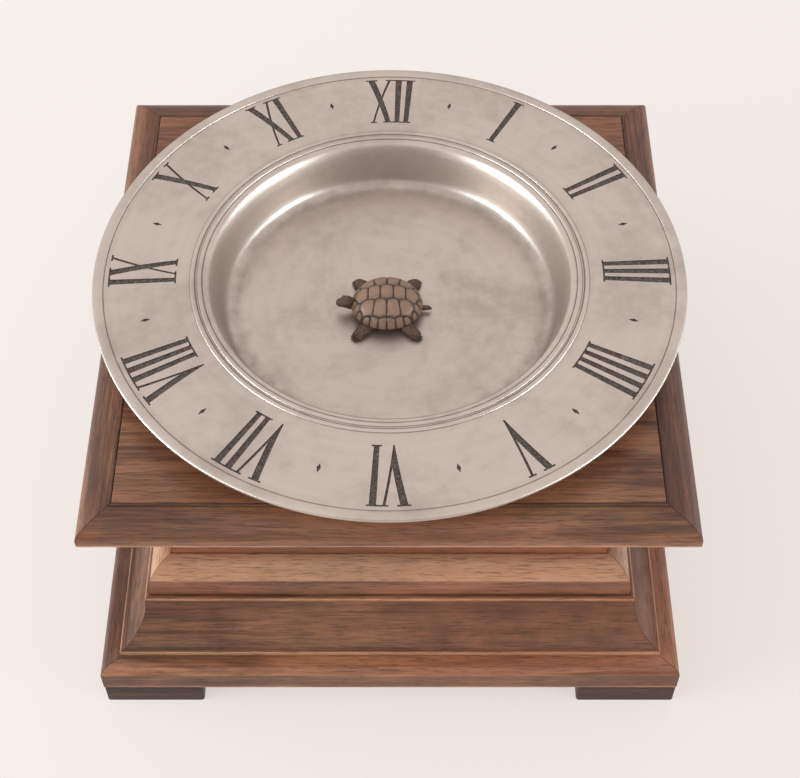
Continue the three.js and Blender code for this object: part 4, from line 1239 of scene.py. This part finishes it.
class CLOCK_OT_turtle_shell(bpy.types.Operator):
    """Models the turtle's domed shell with its plates"""

    bl_idname = "clock.turtle_shell"
    bl_label = "Turtle shell"

    def execute(self, context):
        s = context.scene.clock_sizes
        size = high("turtle_shell") - low("turtle_shell")
        half = Vector((size.x / 2, size.y / 2, size.z))
        centres = scute_centres()
        last, around = 56, 168
        flare_start, flare_rise = 0.93, 0.02
        points, wear, rings = [], [], []
        for inside in (False, True):
            shrink = s.shell_wall if inside else s.scute_swell
            a, b, h = half - Vector((shrink, shrink, shrink))
            for ring in range(last, -1, -1) if inside else range(last + 1):
                lean = QUARTER * ring / last
                out, up = math.sin(lean), math.cos(lean)
                flare = 1 + (0 if inside else flare_rise) * max(
                    0.0, (out - flare_start) / (1 - flare_start)) ** 2
                count = around if ring else 1
                rings.append([len(points) + step % count for step in range(around)])
                for step in range(count):
                    turn = 2 * math.pi * step / around
                    x, y = out * math.cos(turn), out * math.sin(turn)
                    point, mark = Vector((a * x * flare, b * y * flare, h * up)), 0.0
                    if not inside:
                        lift, mark = scute_relief(s, *scute_place(x, y, centres))
                        normal = Vector((x / a, y / b, up / h)).normalized()
                        point += normal * lift * (1 if ring < last else 0)
                    points.append(point)
                    wear.append(mark)
        form = Form(points, [face[::-1] for face in ring_faces(rings)], wear)
        matrix = turtle_matrix()
        matrix.translation.z = low("turtle_shell").z
        make("turtle_shell_plates", form.moved(matrix), finish(shell_horn),
             "turtle", "turtle", "turtle_shell", crease=math.radians(60))
        return {"FINISHED"}


# Movement

PILLARS = [f"pillar_{i}" for i in range(1, 5)]


class CLOCK_OT_movement_frame(bpy.types.Operator):
    """Finishes the plates, the pillars and the balance cock"""

    bl_idname = "clock.movement_frame"
    bl_label = "Movement frame"

    def execute(self, context):
        for node in ("top_plate", "bottom_plate", "balance_cock", "magnet_arm"):
            dress(node, finish(plate_brass))
        for node in PILLARS:
            dress(node, finish(turned_brass, middle(node), kind=node))
        return {"FINISHED"}


class CLOCK_OT_wheels(bpy.types.Operator):
    """Finishes the wheels, the barrel and the balance"""

    bl_idname = "clock.wheels"
    bl_label = "Wheels"

    def execute(self, context):
        same = ("barrel", "centre_wheel", "third_wheel", "fourth_wheel", "escape_wheel",
                "minute_wheel")
        bodies = {node: node for node in same}
        bodies |= {"hour_wheel": "hour_rotor", "balance_wheel": "balance"}
        for node, body in bodies.items():
            dress(node, finish(turned_brass, joint_place(body), kind=node))
        return {"FINISHED"}


class CLOCK_OT_steelwork(bpy.types.Operator):
    """Finishes the arbors, the key, the click work and the springs"""

    bl_idname = "clock.steelwork"
    bl_label = "Steelwork"

    def execute(self, context):
        for node in ("winding_arbor", "ratchet_wheel", "click", "winding_key",
                     "pallet_lever", "centre_arbor", "mainspring"):
            dress(node, finish(steel))
        dress("hairspring", finish(blued_steel))
        for node in ("turtle_magnet", "drive_magnet"):
            dress(node, finish(nickel))
        return {"FINISHED"}


def post(node):
    """The middle of the node's highest face."""
    flat = 1e-5
    face = [vertex.co for vertex in frame["nodes"][node].data.vertices
            if vertex.co.z > high(node).z - flat]
    return Vector([(min(p[axis] for p in face) + max(p[axis] for p in face)) / 2
                   for axis in range(3)])


class CLOCK_OT_click_spring(bpy.types.Operator):
    """Makes the click's blade spring"""

    bl_idname = "clock.click_spring"
    bl_label = "Click spring"

    def execute(self, context):
        s = context.scene.clock_sizes
        foot, top = low("click_spring").z, high("click").z
        anchor = post("click_spring")
        points = [vertex.co for vertex in frame["nodes"]["click_spring"].data.vertices]
        reach = max((p - anchor).xy.length for p in points)
        ends = [p for p in points if (p - anchor).xy.length > reach - s.spring_thickness]
        tip = sum(ends, Vector()) / len(ends)
        anchor.z = tip.z = foot
        run = tip - anchor
        side = Vector((-run.y, run.x, 0)).normalized()
        steps, taper, clamped = 28, 0.25, 0.12
        rise = Vector((0, 0, top - foot))
        points = []
        for step in range(steps + 1):
            along = step / steps
            half = side * s.spring_thickness / 2 * (1 - taper * along)
            here = anchor + run * along
            points += [here - half, here + half, here + half + rise, here - half + rise]
        form = Form(points, [face[::-1] for face in tube_faces(4, steps)])
        radius, height = s.spring_post_radius, high("click_spring").z
        spring_post = turned_form(softened(
            [(0, foot), (radius, foot), (radius, height), (0, height)],
            s.edge_softness / 5, closed=False), 36)
        form.add(spring_post.moved(Matrix.Translation((anchor.x, anchor.y, 0))))
        blade = make("click_spring_blade", form, finish(blued_steel), None, "blued_steel",
                     "click_spring")
        tuple(anchor + run * clamped)
        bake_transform(blade)
        return {"FINISHED"}


class CLOCK_OT_set_knob(bpy.types.Operator):
    """Turns the knurled knob that sets the hour"""

    bl_idname = "clock.set_knob"
    bl_label = "Setting knob"

    def execute(self, context):
        s = context.scene.clock_sizes
        foot, top = low("set_knob").z, high("set_knob").z
        radius, cut = high("set_knob").x, s.knurl_depth
        lip, hollow, hollow_radius, hollow_lip = 3 * cut, 2 * cut, 0.62 * radius, 0.68 * radius
        bore_foot = low("centre_arbor").z - 2 * s.screw_slack
        rows = [(0, foot + hollow), (hollow_radius, foot + hollow), (hollow_lip, foot),
                (radius - lip, foot), (radius, foot + lip), (radius, top - lip),
                (radius - lip, top), (s.knob_bore, top), (s.knob_bore, bore_foot),
                (0, bore_foot)]
        ridges = 72
        knob = turned_form(softened(rows, cut / 2, closed=False, steps=2), 2 * ridges)
        for point in knob.points:
            turn = math.atan2(point.y, point.x)
            if point.xy.length > radius - cut / 4 and math.cos(turn * ridges) < 0:
                point.xy *= 1 - cut / radius
        metal = finish(turned_brass, joint_place("centre_arbor"), kind="knob")
        make("knurled_knob", knob, metal, "centre_arbor", "brass", "set_knob")
        return {"FINISHED"}


def screw_form(radius, height, turn):
    """A slotted screw head that stands on Z 0."""
    lip = height * 0.3
    rows = softened([(0, 0), (radius, 0), (radius, height - lip), (radius - lip, height),
                     (0, height)], height * 0.12, closed=False, steps=2)
    piece = turned_form(rows, 28).placed("screw")
    wide, deep, far = radius * 0.16, height * 0.55, radius * 1.2
    corners = [(x, y, z) for z in (height - deep, height * 2)
               for x, y in ((-far, -wide), (far, -wide), (far, wide), (-far, wide))]
    carve(piece, Form(corners, tube_faces(4)))
    form = Form([v.co.copy() for v in piece.data.vertices],
                [tuple(p.vertices) for p in piece.data.polygons])
    bpy.data.objects.remove(piece)
    return form.moved(Matrix.Rotation(turn, 4, "Z"))


def add_screws(name, places, radius, height, upwards, metal):
    """Screw heads on the case, each slot turned its own way, in the given metal."""
    form = Form()
    golden_turn = 2.4
    for i, place in enumerate(places):
        head = screw_form(radius, height, i * golden_turn)
        if not upwards:
            head.moved(Matrix.Rotation(math.pi, 4, "X"))
        form.add(head.moved(Matrix.Translation(place)))
    make(name, form, finish(metal), "case", metal.__name__)


class CLOCK_OT_screws(bpy.types.Operator):
    """Adds the slotted screws of the movement"""

    bl_idname = "clock.screws"
    bl_label = "Movement screws"

    def execute(self, context):
        s = context.scene.clock_sizes
        outward = 0.001
        seat_ring = (high("top_plate").x + high("bottom_plate").x) / 2 + outward
        pillars = [middle(node) for node in PILLARS]
        turn = math.atan2(pillars[0].y, pillars[0].x) + QUARTER / 2
        seats = [way(turn + QUARTER * i) * seat_ring for i in range(4)]
        upper, lower = s.upper_plate_face, s.lower_plate_face
        large, small = s.screw_radius, s.small_screw_radius
        groups = (
            ("upper_pillar_screws", pillars, upper, large, True),
            ("lower_pillar_screws", pillars, lower, large, False),
            ("seat_screws", seats, upper, large, True),
            ("cock_screw", [post("balance_cock")], low("balance_cock").z, large, False),
            ("click_screw", [joint_place("click")], low("click").z - s.screw_slack, large,
             False),
            ("click_spring_screw", [post("click_spring")], low("click_spring").z, small, False),
        )
        for name, places, level, radius, upwards in groups:
            add_screws(name, [(p.x, p.y, level) for p in places], radius, s.screw_height,
                       upwards, blued_steel)
        return {"FINISHED"}


class CLOCK_OT_wood_screws(bpy.types.Operator):
    """Adds the screws that hold the bottom board"""

    bl_idname = "clock.wood_screws"
    bl_label = "Wood screws"

    def execute(self, context):
        s = context.scene.clock_sizes
        foot = low("bottom_board").z
        reach = (low("wall_right").x + high("wall_right").x) / 2
        corner_share, head_height = 0.76, 0.0007
        places = [Matrix.Rotation(i * QUARTER, 4, "Z") @ Vector((along * reach, -reach, foot))
                  for i in range(4) for along in (-corner_share, 0.0)]
        add_screws("bottom_screws", places, s.wood_screw_radius, head_height, False, steel)
        return {"FINISHED"}


# Stage

def shown_rays(made):
    """1 for rays from the camera, from gloss and through glass."""
    path = made.node("ShaderNodeLightPath").socket.node
    seen, gloss, through = (Level(made, path.outputs[name]) for name in
                            ("Is Camera Ray", "Is Glossy Ray", "Is Transmission Ray"))
    return made.node("ShaderNodeMath", {"operation": "MINIMUM"},
                     {0: seen + gloss + through, 1: 1.0})


def floor(made, colours):
    """Pale paper, a little darker in front as painted shade, which keeps the clock's shadow."""
    glow_share = 0.68
    place = made.place()
    _, ahead, _ = made.parts(place)
    tone = made.mix(made.ease(ahead, -0.45, 0.75), colours.floor_near, colours.floor_far)
    paper = made.node("ShaderNodeBsdfDiffuse", None, {"Color": tone})
    glow = made.node("ShaderNodeEmission", None, {"Color": tone, "Strength": 1.0})
    shader = made.node("ShaderNodeMixShader", None,
                       {0: shown_rays(made) * glow_share, 1: paper, 2: glow})
    made.node("ShaderNodeOutputMaterial", None, {"Surface": shader})
    return made.material


def make_world(scene):
    """A pale studio all round, dimmer in front, and dark there for gloss."""
    scene.world = bpy.data.worlds.new("studio")
    made = Finish(scene.world)
    _, ahead, up = made.parts(made.node("ShaderNodeTexCoord", output="Generated"))
    dark_side = made.ease(ahead * -1.0, 0.35, 0.9) * made.ease(up, 0.55, 0.2)
    gloss = made.node("ShaderNodeLightPath", output="Is Glossy Ray")
    diffuse_level, zenith_gain, front_drop = 0.57, 0.4, 0.2
    seen_level, dark_drop = 0.94, 0.84
    shown = shown_rays(made)
    light = (diffuse_level + made.ease(up, 0.3, 1.0, 0.0, zenith_gain)
             - dark_side * front_drop)
    strength = light * (1 - shown) + shown * seen_level - gloss * dark_side * dark_drop
    sky = made.node("ShaderNodeBackground", None,
                    {"Color": (1.0, 0.965, 0.94), "Strength": strength})
    made.node("ShaderNodeOutputWorld", None, {"Surface": sky})


COOL, BLUISH, WARM = (0.86, 0.97, 1.0), (0.78, 0.93, 1.0), (1.0, 0.96, 0.91)
LAMP_AIM = Vector((0, 0, 0.12))
# Place, width, depth, power, tone, whether it lights the clock and whether it gleams
LAMPS = {
    "left_softbox": ((-1.22, -0.45, 0.37), 0.85, 0.4, 14.0, COOL, True, True),
    "right_softbox": ((1.15, -0.62, 0.38), 0.5, 0.45, 6.2, COOL, True, True),
    "left_sheen": ((-1.3, -0.2, 0.34), 1.1, 0.3, 7.5, BLUISH, True, True),
    "right_sheen": ((1.3, -0.25, 0.34), 1.1, 0.3, 10.5, BLUISH, False, True),
    "front_fill": ((-0.1, -1.15, 1.0), 0.8, 0.3, 1.1, WARM, True, False),
}


def add_lamp(name, place, width, depth, power, tone, lights, gleams):
    """A soft lamp, which may only light the clock or only show in its gloss."""
    lamp = bpy.data.lights.new(name, "AREA")
    lamp.shape = "RECTANGLE"
    lamp.size = width
    lamp.size_y = depth
    lamp.energy = power
    lamp.color = tone
    made = bpy.data.objects.new(name, lamp)
    made.location = place
    made.rotation_euler = (LAMP_AIM - made.location).to_track_quat("-Z", "Y").to_euler()
    made.visible_diffuse, made.visible_glossy = lights, gleams
    bpy.context.scene.collection.objects.link(made)


class CLOCK_OT_stage(bpy.types.Operator):
    """Adds the pale floor, the soft lamps and the camera"""

    bl_idname = "clock.stage"
    bl_label = "Stage"

    def execute(self, context):
        s = context.scene.clock_sizes
        scene = context.scene
        reach = 4.0
        paper = Form([(-reach, -reach, 0), (reach, -reach, 0), (reach, reach, 0),
                      (-reach, reach, 0)], [(0, 1, 2, 3)])
        paper.placed("floor", finish(floor))

        make_world(scene)
        for name, facts in LAMPS.items():
            add_lamp(name, *facts)

        camera_data = bpy.data.cameras.new("camera")
        camera_data.sensor_width = 36.0
        camera_data.lens = 72.55
        camera = bpy.data.objects.new("camera", camera_data)
        camera_aim = Vector((0.0052, 0.0, 0.0766))
        away = Vector((0, -math.cos(s.camera_height), math.sin(s.camera_height)))
        camera.location = camera_aim + away * s.camera_distance
        camera.rotation_euler = (-away).to_track_quat("-Z", "Y").to_euler()
        scene.collection.objects.link(camera)
        scene.camera = camera
        scene.view_settings.view_transform = "Standard"
        return {"FINISHED"}


OPERATORS = (
    CLOCK_OT_stage, CLOCK_OT_plinth, CLOCK_OT_base_moulding, CLOCK_OT_under_moulding,
    CLOCK_OT_top_moulding, CLOCK_OT_boards, CLOCK_OT_dish, CLOCK_OT_turtle_body,
    CLOCK_OT_turtle_features, CLOCK_OT_turtle_shell, CLOCK_OT_movement_frame,
    CLOCK_OT_wheels, CLOCK_OT_steelwork, CLOCK_OT_click_spring, CLOCK_OT_set_knob,
    CLOCK_OT_screws, CLOCK_OT_wood_screws,
)


class CLOCK_PT_panel(bpy.types.Panel):
    """Lists the clock's pieces"""

    bl_idname = "CLOCK_PT_panel"
    bl_label = "Tortoise mystery clock"
    bl_space_type = "VIEW_3D"
    bl_region_type = "UI"
    bl_category = "Clock"

    def draw(self, context):
        for operator in OPERATORS:
            self.layout.operator(operator.bl_idname)


CLASSES = (ClockSizes, ClockColours, *OPERATORS, CLOCK_PT_panel)


def register():
    for made in CLASSES:
        bpy.utils.register_class(made)
    bpy.types.Scene.clock_sizes = PointerProperty(type=ClockSizes)
    bpy.types.Scene.clock_colours = PointerProperty(type=ClockColours)


def unregister():
    del bpy.types.Scene.clock_sizes
    del bpy.types.Scene.clock_colours
    for made in reversed(CLASSES):
        bpy.utils.unregister_class(made)


def main():
    register()
    for operator in OPERATORS:
        group, name = operator.bl_idname.split(".")
        getattr(getattr(bpy.ops, group), name)()


if __name__ == "__main__":
    main()
